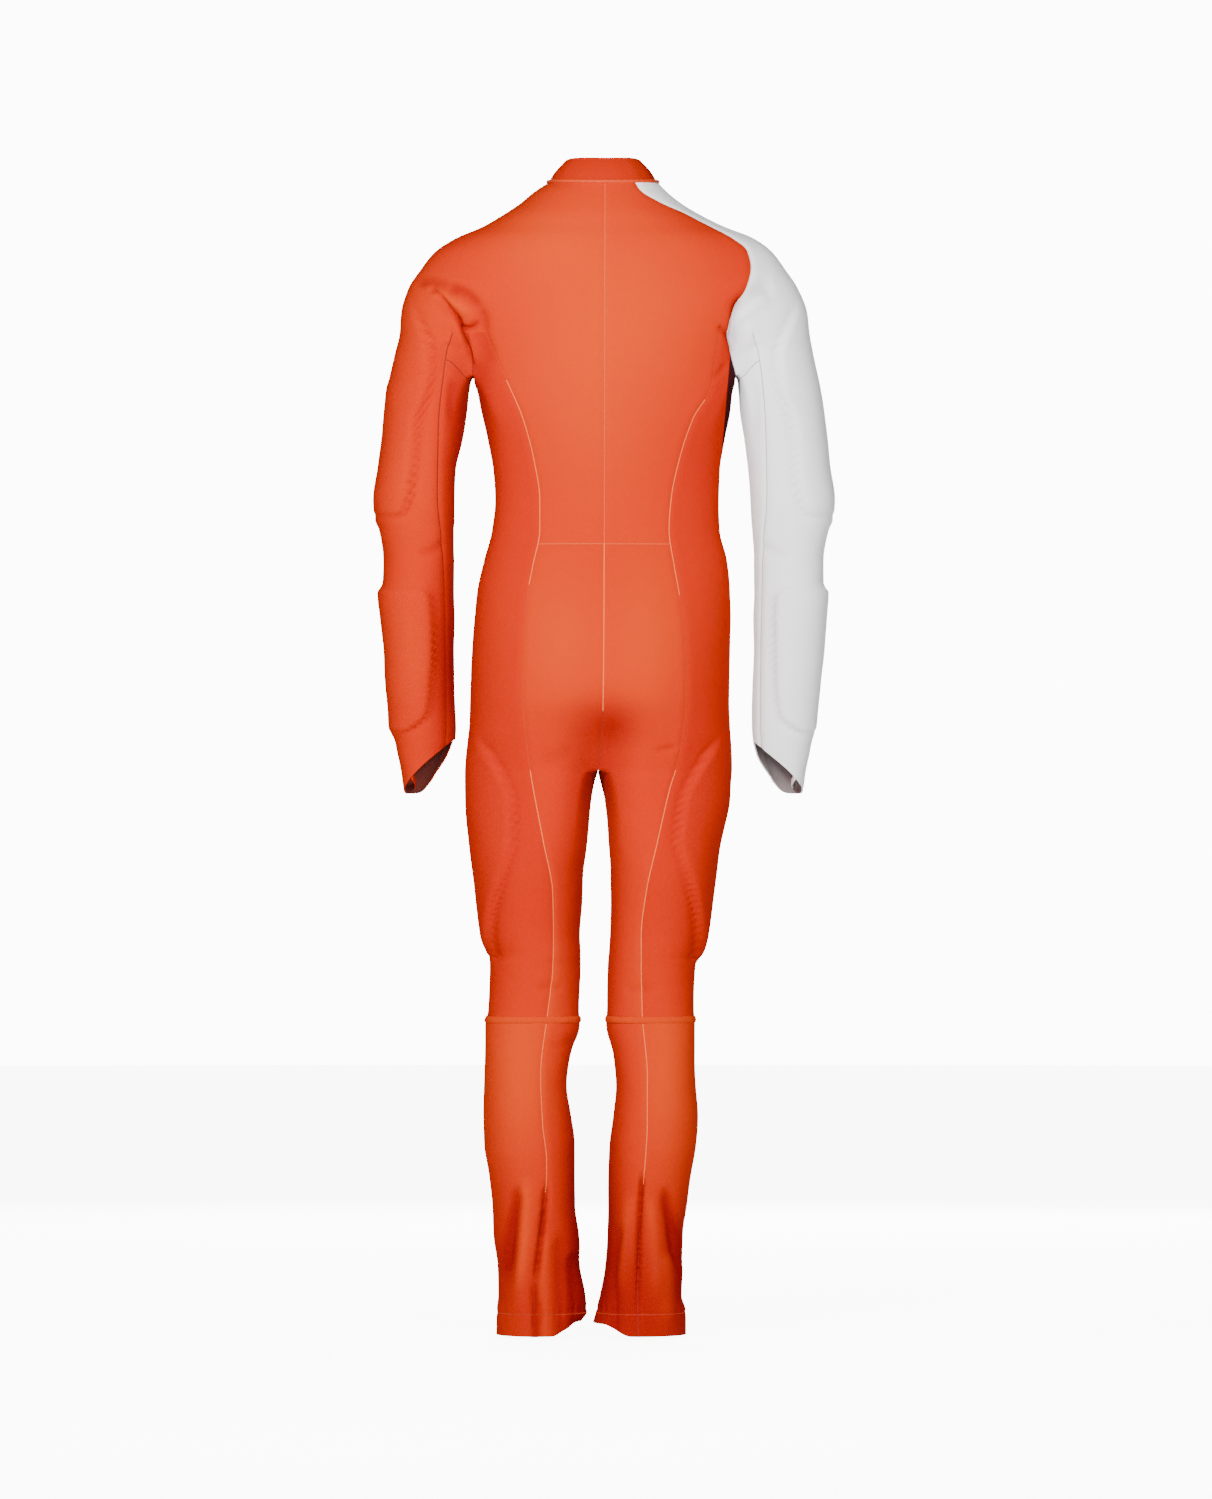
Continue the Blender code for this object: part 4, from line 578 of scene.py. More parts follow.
def leg_at(side):
    """Section of the left or right leg, which takes the torso's depth near the crotch."""
    sign = SIDES[side]

    def section(angle, z):
        """x and y of the leg at an angle and a height."""
        outer = sign * (curve(LEGS, "outer_" + side, z) - pad_at_edge("leg", z))
        inner = sign * curve(LEGS, "inner_" + side, z)
        c = np.cos(angle)
        depth = np.where(c >= 0, curve(LEGS, "back", z), curve(LEGS, "front", z))
        x = (outer + inner) / 2 + abs(outer - inner) / 2 * rounded(np.sin(angle), LEG_POWER)
        y = depth * rounded(c, LEG_POWER)
        share = ease((z - CROTCH + THIGH_BLEND) / THIGH_BLEND)
        across = np.clip(np.abs(x - CROTCH_MIDDLE) / np.abs(outer - CROTCH_MIDDLE), 0.0, 1.0)
        torso = np.maximum(1.0 - across ** (2 / TORSO_WIDTH_POWER), 0.0) ** (TORSO_DEPTH_POWER / 2)
        torso = torso * quarter_round(np.abs(x - inner), INNER_ROUNDING)
        cleft = 1.0 - CLEFT_DEPTH * np.exp(-(((x - CROTCH_MIDDLE) / CLEFT_WIDTH) ** 2))
        return x, (1.0 - share) * y + share * np.sign(c) * depth * torso * cleft

    return section


def pad_in_height(columns, height, top, bottom, z):
    """Thickness of a pad at a height, with its top slope and bottom step."""
    heights = columns["z"]
    return height * ease((heights[-1] - z) / top) * ease((z - heights[0]) / bottom)


def pad_at_edge(limb, z):
    """Thickness of the pads at the outer edge of a limb."""
    total = 0.0
    for place, columns, height, top, bottom in PADS:
        if place == limb:
            total = total + pad_in_height(columns, height, top, bottom, z)
    return total


# Rings of the surface

def finer(levels):
    """Heights of the rings, divided into rows about one row step high."""
    heights = [float(levels[0])]
    for above, below in zip(levels[:-1], levels[1:]):
        count = max(1, round((above - below) / ROW_STEP))
        heights += [above + (below - above) * k / count for k in range(1, count + 1)]
    return heights


YOKE_LEVELS = finer([NECK, -7, -18, -30, -42, -54, -67, -84, -104, -127, ARMHOLE_JOIN, -172, ARMPIT])
TORSO_LEVELS = finer([ARMPIT, WAIST_SEAM, ZIP_END, CROTCH])
ARM_LEVELS = finer([ARMPIT, CUFF_START])
LEG_LEVELS = finer([CROTCH, KNEE_SEAM, HEM_RISE_TOP, HEM])

# Key columns of the yoke, from the centre back towards the wearer's left, and the columns of faces between
HALF_KEYS = ["princess", "armhole", "sleeve", "sleeve_front", "armhole_front", "front", "zip"]
YOKE_KEYS = ["centre_back", *[key + "_left" for key in HALF_KEYS], "centre_front",
             *[key + "_right" for key in reversed(HALF_KEYS)], "end"]
YOKE_HALF = [BACK_COLUMNS, ARMHOLE_COLUMNS, ARMHOLE_COLUMNS, SLEEVE_COLUMNS, ARMHOLE_COLUMNS,
             ARMHOLE_COLUMNS, FRONT_COLUMNS, ZIP_COLUMNS]
YOKE_COUNTS = YOKE_HALF + YOKE_HALF[::-1]


def angle_of(section, z, x, front=False):
    """Angle at which a section reaches a distance x from the middle, behind or in front."""
    start = math.pi / 2 if front else -math.pi / 2
    angles = np.linspace(start, start + math.pi, 181)
    xs, _ = section(angles, z)
    if front:
        return float(np.interp(-x, -xs, angles))
    return float(np.interp(x, xs, angles))


def arc_of(points):
    """Length of a polyline up to each of its points."""
    return np.concatenate([[0.0], np.cumsum(np.linalg.norm(np.diff(points, axis=0), axis=1))])


def spread(section, z, start, end, count, shares=None):
    """Angles that divide a stretch of a section into equal lengths, or into given shares of it."""
    angles = np.linspace(start, end, 241)
    arc = arc_of(np.column_stack(section(angles, z)))
    if shares is None:
        shares = np.linspace(0.0, 1.0, count + 1)
    return np.interp(shares * arc[-1], arc, angles)


def shares_of(points):
    """Share of its length at which each point of a polyline lies."""
    arc = arc_of(points)
    return arc / arc[-1]


def neck_tilt(angle, z):
    """The neckline dips a little behind and much further in front, and the rings under it level out."""
    c = np.cos(angle)
    fade = np.clip(1.0 - (NECK - z) / NECK_TILT_REACH, 0.0, 1.0) ** 2
    return np.where(c > 0, NECK_BACK, NECK_FRONT) * c * c * fade


def seam_x(columns, side, z):
    """Distance of a seam from the middle of the suit, negative on the wearer's right."""
    return SIDES[side] * float(curve(columns, side, z))


def behind(section, columns, side, z):
    """Angle of a seam on the back of a section."""
    return angle_of(section, z, seam_x(columns, side, z))


def before(section, columns, side, z):
    """Angle of a seam on the front of a section."""
    return angle_of(section, z, seam_x(columns, side, z), front=True)


class Surface:
    """Points and labelled four-sided faces of the whole suit."""

    def __init__(self, detail):
        """Start with no points and no faces."""
        self.detail = detail
        self.points = []
        self.faces = []
        self.labels = []
        self.rows = []
        self.row_count = 0
        self.cuff_angles = {}
        self.hem_lines = {}

    def add_row(self, rows):
        """Add points and give their numbers."""
        first = len(self.points)
        self.points.extend(rows)
        return np.arange(first, first + len(rows))

    def add_faces(self, upper, lower, labels):
        """Faces between two closed rows of points, with a label for each face."""
        self.faces.append(np.column_stack([upper, np.roll(upper, -1), np.roll(lower, -1), lower]))
        self.labels.extend(labels)
        self.rows.extend([self.row_count] * len(labels))
        self.row_count += 1


def repeat(pairs, detail):
    """Labels for a row of faces from (label, columns) pairs. An empty label is left open for the zip."""
    return [label for label, count in pairs for _ in range(count * detail)]


def front_keys(section, z):
    """Angles of the left edge of the zip, the centre front and the right edge of the zip."""
    middle = float(curve(CENTRE_SEAM, "x", z))
    offsets = (ZIP_HALF_WIDTH, 0.0, -ZIP_HALF_WIDTH)
    return [angle_of(section, z, middle + offset, front=True) for offset in offsets]


def sleeve_seam_angles(side, z, start, end):
    """Angles of the sleeve seams between the two ends of the armhole on one side."""
    angles = spread(yoke_at, z, start, end, 240)
    xs, ys = yoke_at(angles, z)
    arc = arc_of(np.column_stack([xs, ys]))
    even = arc[-1] / (SLEEVE_COLUMNS + 2)
    share = float(ease((SLEEVE_SEAM_START - z) / SLEEVE_SEAM_FADE))
    reach = abs(seam_x(SLEEVE_SEAM, side, z))
    far = int(np.argmax(np.abs(xs)))
    first = even + (np.interp(reach, np.abs(xs[:far]), arc[:far]) - even) * share
    last = even + (arc[-1] - np.interp(reach, np.abs(xs[:far:-1]), arc[:far:-1]) - even) * share
    return [float(np.interp(first, arc, angles)), float(np.interp(arc[-1] - last, arc, angles))]


def sleeve_seam_lift(xs, z):
    """Rows rise where the gusset meets the sleeve seam."""
    middle = float(curve(SLEEVE_SEAM, "left", z))
    lift = SEAM_LIFT * float(ease((ARMHOLE_JOIN - z) / (ARMHOLE_JOIN - ARMPIT)))
    lift *= float(ease((z - SEAM_LIFT_END) / SEAM_LIFT_FADE))
    return lift * np.exp(-(((np.abs(xs) - middle) / SEAM_LIFT_WIDTH) ** 2))


def build_yoke(surface):
    """Rows from the neck to the armpits, and the index of each key column."""
    m = surface.detail
    rows = []
    for z in YOKE_LEVELS:
        start = angle_of(yoke_at, z, float(curve(CENTRE_SEAM, "x", z)))
        left, right = (limb_seams(side, ARMHOLE_SEAM, ARMHOLE_SEAM)(yoke_at, z) for side in SIDES)
        keys = [start, behind(yoke_at, PRINCESS_SEAM, "left", z),
                left[0], *sleeve_seam_angles("left", z, *left), left[1],
                before(yoke_at, FRONT_SEAM, "left", z), *front_keys(yoke_at, z),
                before(yoke_at, FRONT_SEAM, "right", z),
                right[0], *sleeve_seam_angles("right", z, *right), right[1],
                behind(yoke_at, PRINCESS_SEAM, "right", z) + TURN, start + TURN]
        angles = np.concatenate([spread(yoke_at, z, keys[i], keys[i + 1], YOKE_COUNTS[i] * m)[:-1]
                                 for i in range(len(YOKE_COUNTS))])
        xs, ys = yoke_at(angles, z)
        heights = z + neck_tilt(angles, z) + sleeve_seam_lift(xs, z)
        rows.append(surface.add_row(np.column_stack([xs, ys, heights])))
    places = np.concatenate([[0], np.cumsum(YOKE_COUNTS)]) * m
    return rows, dict(zip(YOKE_KEYS, (int(place) for place in places)))


def blended_shares(first, z, top, length):
    """Shares that start as those of a shared row and become even further down."""
    even = np.linspace(0.0, 1.0, len(first))
    weight = float(ease((top - z) / length + 0.08 * ease((top - z) / 11.0)))
    return (1.0 - weight) * first + weight * even


def build_limb(surface, first_row, split, section, seams, levels, blend, lift=None):
    """Rows of a sleeve or a leg, whose first row is shared. Its seams are at column 0 and at column split."""
    rows = [first_row]
    top = levels[0]
    points = np.array([surface.points[i] for i in first_row])
    closed = np.vstack([points, points[:1]])
    first_outer = shares_of(closed[:split + 1])
    first_inner = shares_of(closed[split:])
    for z in levels[1:]:
        start, end = seams(section, z)
        outer = blended_shares(first_outer, z, top, blend)
        inner = blended_shares(first_inner, z, top, blend)
        angles = np.concatenate([
            spread(section, z, start, end, None, outer)[:-1],
            spread(section, z, end, start + TURN, None, inner)[:-1]])
        xs, ys = section(angles, z)
        heights = np.full(len(xs), float(z))
        if lift is not None:
            heights = heights + lift(xs, z)
        rows.append(surface.add_row(np.column_stack([xs, ys, heights])))
    return rows, angles


def limb_seams(side, back_table, front_table):
    """Start and end angle of the outer half of a limb, in the order of its columns."""
    def seams(section, z):
        """Angles of the two seams at a height."""
        back = behind(section, back_table, side, z)
        front = before(section, front_table, side, z)
        if side == "left":
            return back, front
        return front, back + TURN

    return seams


def build_torso(surface, yoke_row, places):
    """Rows from the armpits to the crotch, with the points under each arm."""
    m = surface.detail
    bridges = {}
    for side in SIDES:
        a = np.array(surface.points[yoke_row[places["armhole_" + side]]])
        b = np.array(surface.points[yoke_row[places["armhole_front_" + side]]])
        t = np.linspace(0.0, 1.0, BRIDGE_COLUMNS * m + 1)[1:-1, None]
        arch = 3.0 * UP * np.sin(math.pi * t)
        bridges[side] = surface.add_row(a + (b - a) * t + arch)
    row = np.concatenate([
        yoke_row[:places["armhole_left"] + 1], bridges["left"],
        yoke_row[places["armhole_front_left"]:places["armhole_front_right"] + 1],
        bridges["right"][::-1], yoke_row[places["armhole_right"]:]])
    b, s, f, zipped = BACK_COLUMNS * m, SIDE_COLUMNS * m, FRONT_COLUMNS * m, ZIP_COLUMNS * m
    half = b + s + f + zipped
    points = np.array([surface.points[i] for i in row])
    first_left = shares_of(points[b:b + s + 1])
    first_right = shares_of(points[half + zipped + f:half + zipped + f + s + 1])
    rows = [row]
    for z in TORSO_LEVELS[1:]:
        start = angle_of(torso_at, z, float(curve(CENTRE_SEAM, "x", z)))
        keys = [start, behind(torso_at, PRINCESS_SEAM, "left", z), before(torso_at, FRONT_SEAM, "left", z),
                *front_keys(torso_at, z), before(torso_at, FRONT_SEAM, "right", z),
                behind(torso_at, PRINCESS_SEAM, "right", z) + TURN, start + TURN]
        shares = [None, blended_shares(first_left, z, ARMPIT, SIDE_EVEN), None, None, None, None,
                  blended_shares(first_right, z, ARMPIT, SIDE_EVEN), None]
        counts = [b, s, f, zipped, zipped, f, s, b]
        angles = np.concatenate([spread(torso_at, z, keys[i], keys[i + 1], counts[i], shares[i])[:-1]
                                 for i in range(len(counts))])
        xs, ys = torso_at(angles, z)
        rows.append(surface.add_row(np.column_stack([xs, ys, np.full(len(xs), float(z))])))
    return rows, bridges, half


def cuff_length(x, y, side):
    """Height of the slanted cuff's edge at a point of the sleeve's last ring."""
    t = np.clip((abs(curve(ARMS, "outer_" + side, CUFF_START)) - np.abs(x)) / CUFF_WIDTH, 0.0, 1.0)
    share = ease((y - CUFF_MIDDLE) / 30.0 + 0.5)
    (back_tip, back_rise, back_power), (front_tip, front_rise, front_power) = CUFF_BACK, CUFF_FRONT
    back_edge = back_tip + back_rise * t ** back_power
    front_edge = front_tip + front_rise * t ** front_power
    return share * back_edge + (1.0 - share) * front_edge


def build_cuff(surface, rows, section, angles, side):
    """Rows that follow the slanted cuff, under the last level ring of a sleeve."""
    xs, ys = section(angles, CUFF_START)
    end = cuff_length(xs, ys, side)
    for share in np.linspace(0.0, 1.0, 25)[1:]:
        heights = CUFF_START + (end - CUFF_START) * share
        x, y = section(angles, heights)
        rows.append(surface.add_row(np.column_stack([x, y, heights])))


def hem_inside(x):
    """1 between the legs, where the hem is higher, and 0 towards the outside of each."""
    return ease((40.0 - np.abs(x - 13.0)) / 30.0)


def raise_hem(surface, rows):
    """The hem is higher between the legs and sags towards the outside of each."""
    for row in rows:
        for index in row:
            x, y, z = surface.points[index]
            if z < HEM_RISE_TOP:
                share = (HEM_RISE_TOP - z) / (HEM_RISE_TOP - HEM)
                surface.points[index] = np.array([x, y, z + HEM_RISE * hem_inside(x) * share])


def build_suit(detail):
    """The whole surface, with a label on each face."""
    m = detail
    surface = Surface(detail)
    yoke, places = build_yoke(surface)
    surface.join_row = {int(index) for index in yoke[YOKE_LEVELS.index(ARMHOLE_JOIN)]}
    for k in range(len(yoke) - 1):
        below_join = YOKE_LEVELS[k] <= ARMHOLE_JOIN
        half = []
        for side in SIDES:
            back, sleeve = "back_" + side, "sleeve_upper_" + side
            part = [(back, BACK_COLUMNS), ("side_" + side if below_join else back, 1),
                    ("underarm_gusset_" + side if below_join else sleeve, 1), (sleeve, SLEEVE_COLUMNS),
                    ("underarm_gusset_" + side if below_join else sleeve, 1),
                    ("side_" + side if below_join else "front_" + side, 1), ("front_" + side, FRONT_COLUMNS),
                    ("", ZIP_COLUMNS)]
            half.append(part if side == "left" else part[::-1])
        surface.add_faces(yoke[k], yoke[k + 1], repeat(half[0] + half[1], m))
    torso, bridges, half = build_torso(surface, yoke[-1], places)
    for k in range(len(torso) - 1):
        upper = TORSO_LEVELS[k] > WAIST_SEAM
        zipped = TORSO_LEVELS[k] > ZIP_END
        names = [("back_" if upper else "seat_", BACK_COLUMNS), ("side_", SIDE_COLUMNS),
                 ("front_", FRONT_COLUMNS), ("" if zipped else "front_", ZIP_COLUMNS)]
        left = [(name and name + "left", count) for name, count in names]
        right = [(name and name + "right", count) for name, count in names[::-1]]
        surface.add_faces(torso[k], torso[k + 1], repeat(left + right, m))
    last = yoke[-1]
    for side in SIDES:
        section = arm_at(side)
        if side == "left":
            first = np.concatenate([
                last[places["sleeve_left"]:places["armhole_front_left"] + 1], bridges["left"][::-1],
                last[places["armhole_left"]:places["sleeve_left"]]])
        else:
            first = np.concatenate([
                last[places["sleeve_front_right"]:places["armhole_right"] + 1], bridges["right"],
                last[places["armhole_front_right"]:places["sleeve_front_right"]]])
        split = SLEEVE_COLUMNS * m
        seams = limb_seams(side, SLEEVE_SEAM, SLEEVE_SEAM)
        rows, angles = build_limb(surface, first, split, section, seams, ARM_LEVELS, SLEEVE_EVEN,
                                  sleeve_seam_lift)
        build_cuff(surface, rows, section, angles, side)
        surface.cuff_angles[side] = angles
        for k in range(len(rows) - 1):
            inner = "underarm_gusset_" if k < GUSSET_ROWS else "sleeve_under_"
            labels = [("sleeve_upper_" + side, SLEEVE_COLUMNS), (inner + side, SIDE_COLUMNS)]
            surface.add_faces(rows[k], rows[k + 1], repeat(labels, m))
    last = torso[-1]
    back_point = np.array(surface.points[last[0]])
    front_point = np.array(surface.points[last[half]])
    t = np.linspace(0.0, 1.0, BRIDGE_COLUMNS * m + 1)[1:-1, None]
    arch = 4.0 * UP * np.sin(math.pi * t)
    bridge = surface.add_row(back_point + (front_point - back_point) * t + arch)
    for side in SIDES:
        section = leg_at(side)
        b, s, f = BACK_COLUMNS * m, SIDE_COLUMNS * m, (FRONT_COLUMNS + ZIP_COLUMNS) * m
        if side == "left":
            first = np.concatenate([last[b:half + 1], bridge[::-1], last[:b]])
        else:
            first = np.concatenate([last[half + f:], last[:1], bridge, last[half:half + f]])
        seams = limb_seams(side, PRINCESS_SEAM, FRONT_SEAM)
        rows, _ = build_limb(surface, first, s, section, seams, LEG_LEVELS, LEG_EVEN)
        raise_hem(surface, rows[-12:])
        hem_row = [int(index) for index in rows[LEG_LEVELS.index(HEM_RISE_TOP)]]
        surface.hem_lines[side] = hem_row + hem_row[:1]
        seat_columns = BACK_COLUMNS + BRIDGE_COLUMNS // 2
        front_columns = FRONT_COLUMNS + ZIP_COLUMNS + BRIDGE_COLUMNS // 2
        for k in range(len(rows) - 1):
            if LEG_LEVELS[k] > KNEE_SEAM:
                inner = [("front_" + side, front_columns), ("seat_" + side, seat_columns)]
                outer = [("side_" + side, SIDE_COLUMNS)]
            else:
                inner = [("calf_inner_" + side, front_columns + seat_columns)]
                outer = [("calf_outer_" + side, SIDE_COLUMNS)]
            labels = outer + (inner if side == "left" else inner[::-1])
            surface.add_faces(rows[k], rows[k + 1], repeat(labels, m))
    surface.points = np.array(surface.points)
    surface.faces = np.concatenate(surface.faces)
    surface.labels = np.array(surface.labels)
    surface.rows = np.array(surface.rows)
    steps = {"zip_left": -m * ZIP_COLUMNS, "centre_front": 0, "zip_right": m * ZIP_COLUMNS}
    surface.zip_columns = {
        key: [row[places[key]] for row in yoke] + [row[half + step] for row in torso[1:]]
        for key, step in steps.items()}
    return surface


def face_normals(points, faces):
    """Normals of four-sided faces, from their diagonals, and as long as twice their area."""
    a, b, c, d = (points[faces[:, i]] for i in range(4))
    return np.cross(c - a, d - b)


def point_normals(points, faces):
    """Normals of the points, from the faces round each."""
    normals = np.zeros_like(points)
    cross = face_normals(points, faces)
    for i in range(4):
        np.add.at(normals, faces[:, i], cross)
    return unit(normals)


# Seams, found where two panels meet

def seam_edges(surface):
    """Edges that two panels share, by the panels' names. An open edge has an empty name in its pair."""
    edges = np.concatenate([surface.faces[:, [i, (i + 1) % 4]] for i in range(4)])
    owners = np.tile(np.arange(len(surface.faces)), 4)
    keys = np.sort(edges, axis=1)
    order = np.lexsort((keys[:, 1], keys[:, 0]))
    keys, owners = keys[order], owners[order]
    same = (keys[1:] == keys[:-1]).all(axis=1)
    found = {}
    for i in np.flatnonzero(same):
        first, second = surface.labels[owners[i]], surface.labels[owners[i + 1]]
        if first != second:
            pair = tuple(sorted((str(first), str(second))))
            found.setdefault(pair, []).append((int(keys[i, 0]), int(keys[i, 1])))
    alone = np.ones(len(keys), bool)
    alone[:-1] &= ~same
    alone[1:] &= ~same
    for i in np.flatnonzero(alone):
        pair = ("", str(surface.labels[owners[i]]))
        found.setdefault(pair, []).append((int(keys[i, 0]), int(keys[i, 1])))
    return found


def chains(edges):
    """Edges joined end to end, as lists of points."""
    links = {}
    for a, b in edges:
        links.setdefault(a, []).append(b)
        links.setdefault(b, []).append(a)
    todo = {tuple(sorted(edge)) for edge in edges}
    lines = []
    ends = [p for p, others in links.items() if len(others) != 2]
    for start in ends + list(links):
        for step in links[start]:
            if tuple(sorted((start, step))) not in todo:
                continue
            line = [start]
            here = step
            todo.discard(tuple(sorted((start, step))))
            line.append(here)
            while True:
                onward = [p for p in links[here] if tuple(sorted((here, p))) in todo]
                if not onward or len(links[here]) > 2:
                    break
                todo.discard(tuple(sorted((here, onward[0]))))
                here = onward[0]
                line.append(here)
            lines.append(line)
    return lines


# Relief of the cloth, in millimetres along its normals

def pads_on(points):
    """Thickness of the moulded pads, the puckers along their edges, and how much of a pad covers a point."""
    x, z = points[:, 0], points[:, 2]
    side_is_left = x > 0
    total = np.zeros(len(points))
    pucker = np.zeros(len(points))
    cover = np.zeros(len(points))
    for place, columns, height, top, bottom in PADS:
        edges = ARMS if place == "arm" else LEGS
        outer = np.where(side_is_left, curve(edges, "outer_left", z), curve(edges, "outer_right", z))
        if place == "arm":
            yoke = np.where(side_is_left, curve(YOKE, "left", z), curve(YOKE, "right", z))
            outer = np.where(z > ARMPIT, yoke, outer)
            on_limb = np.abs(x) > 130.0
        else:
            on_limb = np.abs(x) < 141.0
        inwards = outer - np.abs(x)
        inside = curve(columns, "reach", z) - inwards
        body = pad_in_height(columns, height, top, bottom, z)
        share = body / height
        total += np.where(on_limb, body * ease(inside / PAD_EDGE + 0.5), 0.0)
        cover = np.maximum(cover, np.where(on_limb, share * ease(inside / 5.0 + 0.5), 0.0))
        groove = -0.5 * np.exp(-(((inside + 5.0) / 3.0) ** 2))
        near = np.exp(-(((inside + 2.5) / 4.0) ** 2))
        wave = np.sin(TURN * (z + 0.8 * inwards) / 8.4 + 2.2 * np.sin(z / 19.0 + place.count("a")))
        drawn = groove + 0.85 * near * wave * (0.7 + 0.3 * np.sin(z / 13.0))
        pucker += np.where(on_limb, share * drawn, 0.0)
    return total, pucker, cover


def creases_on(points):
    """How far the creases raise or lower the cloth."""
    total = np.zeros(len(points))
    flat = points[:, [0, 2]]
    t = np.linspace(0.0, 1.0, 33)
    for x0, z0, x1, z1, x2, z2, width, height, face in CREASES:
        bend = np.array([x1, z1]) * 2 - (np.array([x0, z0]) + np.array([x2, z2])) / 2
        path = np.outer((1 - t) ** 2, (x0, z0)) + np.outer(2 * t * (1 - t), bend) + np.outer(t ** 2, (x2, z2))
        low, high = path.min(axis=0) - 3 * width, path.max(axis=0) + 3 * width
        within = (flat > low).all(axis=1) & (flat < high).all(axis=1)
        near = np.flatnonzero(within & (points[:, 1] * face > -25))
        if not len(near):
            continue
        gaps = np.linalg.norm(flat[near][:, None] - path[None], axis=2)
        closest = gaps.argmin(axis=1)
        along = t[closest]
        fade = ease(along / 0.22) * (1.0 if z2 < HEM - 1 else ease((1.0 - along) / 0.3))
        on_face = ease((points[near, 1] * face + 20.0) / 32.0)
        total[near] += height * fade * on_face * np.exp(-((gaps.min(axis=1) / width) ** 2))
    return total


def seams_on(points, seam_points):
    """Cloth dips at a seam, rises softly beside it and puckers a little across it."""
    tree = KDTree(len(seam_points))
    for number, index in enumerate(seam_points):
        tree.insert(points[index], number)
    tree.balance()
    gaps = np.array([tree.find(Vector(p))[2] for p in points])
    dip = -0.55 * np.exp(-((gaps / 2.2) ** 2))
    rise = 0.28 * np.exp(-(((gaps - 6.0) / 4.0) ** 2))
    way = points[:, 2] + 0.5 * points[:, 0]
    wave = np.sin(TURN * way / 7.3 + 1.9 * np.sin(way / 23.0)) + 0.5 * np.sin(TURN * way / 4.1 + 1.1)
    return dip + rise + 0.10 * np.exp(-gaps / 7.0) * wave


def unevenness(points):
    """A faint waviness that no stretched cloth is without."""
    x, y, z = points.T
    broad = np.sin(x / 23.0 + z / 41.0) * np.sin(z / 29.0 - y / 31.0)
    fine = np.sin(x / 9.0 - z / 14.0 + 1.3) * np.sin(z / 11.0 + y / 8.0)
    return 0.35 * broad + 0.10 * fine


def hems_on(points):
    """The hems' stitching draws the cloth in, with short puckers beside it."""
    x, z = points[:, 0], points[:, 2]
    line = HEM_RISE_TOP + 4.0 * hem_inside(x)
    near = np.exp(-(((z - line) / 2.2) ** 2))
    beside = np.exp(-(((z - line) / 7.0) ** 2))
    wave = np.sin(TURN * x / 6.0 + 2.0 * np.sin(x / 11.0))
    return np.where(z < -1080.0, -0.9 * near + 0.45 * beside * wave, 0.0)


def zones_on(points, normals, zones):
    """Strength of the painted highlight zones, or of the painted shade zones, at each point, on the face of
    the suit that each lies on.
    """
    total = np.zeros(len(points))
    for x, z, wide, high, strength, face in zones:
        gap = ((points[:, 0] - x) / wide) ** 2 + ((points[:, 2] - z) / high) ** 2
        total += strength * np.exp(-gap) * ease((normals[:, 1] * face + 0.35) / 0.7)
    return total


# Materials

def node(tree, kind, **inputs):
    """Add a shader node and set its inputs, by name or number, to values or other nodes' outputs."""
    made = tree.nodes.new(kind)
    for name, value in inputs.items():
        key = int(name[1:]) if name[0] == "i" and name[1:].isdigit() else name.replace("_", " ")
        if isinstance(value, bpy.types.NodeSocket):
            tree.links.new(value, made.inputs[key])
        else:
            made.inputs[key].default_value = value
    return made


def maths(tree, operation, a, b=0.0):
    """One sum of two values."""
    made = node(tree, "ShaderNodeMath", i0=a, i1=b)
    made.operation = operation
    return made.outputs[0]


def scaled(tree, value, factor, offset):
    """A value times a factor, plus an offset."""
    made = node(tree, "ShaderNodeMath", i0=value, i1=factor, i2=offset)
    made.operation = "MULTIPLY_ADD"
    return made.outputs[0]


def mixed(tree, factor, a, b):
    """A blend of two colours. Each is another node's output, or red, green and blue."""
    made = tree.nodes.new("ShaderNodeMix")
    made.data_type = "RGBA"
    tree.links.new(factor, made.inputs[0])
    for key, value in ((6, a), (7, b)):
        if isinstance(value, bpy.types.NodeSocket):
            tree.links.new(value, made.inputs[key])
        else:
            made.inputs[key].default_value = (*value, 1.0)
    return made.outputs[2]


def place_on(tree):
    """Place on the object, in metres."""
    return node(tree, "ShaderNodeTexCoord").outputs["Object"]


def paint(tree, factor, a, b):
    """Give the material a blend of two colours."""
    tree.links.new(mixed(tree, factor, a, b), tree.nodes["Principled BSDF"].inputs["Base Color"])


def ramp(tree, value, low, high):
    """Value brought from between low and high to between 0 and 1."""
    made = node(tree, "ShaderNodeMapRange", i0=value, i1=low, i2=high)
    return made.outputs[0]


def new_material(name, roughness, metallic=0.0, sheen=0.0, sheen_tint=(1, 1, 1), specular=0.5):
    """A material, its node tree and its shader."""
    material = bpy.data.materials.new(name)
    material.use_nodes = True
    tree = material.node_tree
    shader = tree.nodes["Principled BSDF"]
    shader.inputs["Roughness"].default_value = roughness
    shader.inputs["Metallic"].default_value = metallic
    shader.inputs["Sheen Weight"].default_value = sheen
    shader.inputs["Sheen Roughness"].default_value = 0.45
    shader.inputs["Sheen Tint"].default_value = (*sheen_tint, 1.0)
    shader.inputs["Specular IOR Level"].default_value = specular
    return material, tree, shader


def knit_relief(tree, wale, course):
    """Height of fine knit loops, as columns of small V shapes, with the place on the cloth."""
    uv = node(tree, "ShaderNodeUVMap")
    uv.uv_map = "cloth"
    parts = node(tree, "ShaderNodeSeparateXYZ", Vector=uv.outputs[0])
    across = maths(tree, "MULTIPLY", parts.outputs[0], math.pi / (wale * MM))
    fold = maths(tree, "PINGPONG", maths(tree, "DIVIDE", parts.outputs[1], course * MM), 0.5)
    turn = maths(tree, "ADD", across, maths(tree, "MULTIPLY", fold, 2.6))
    return maths(tree, "ABSOLUTE", maths(tree, "SINE", turn)), uv.outputs[0]


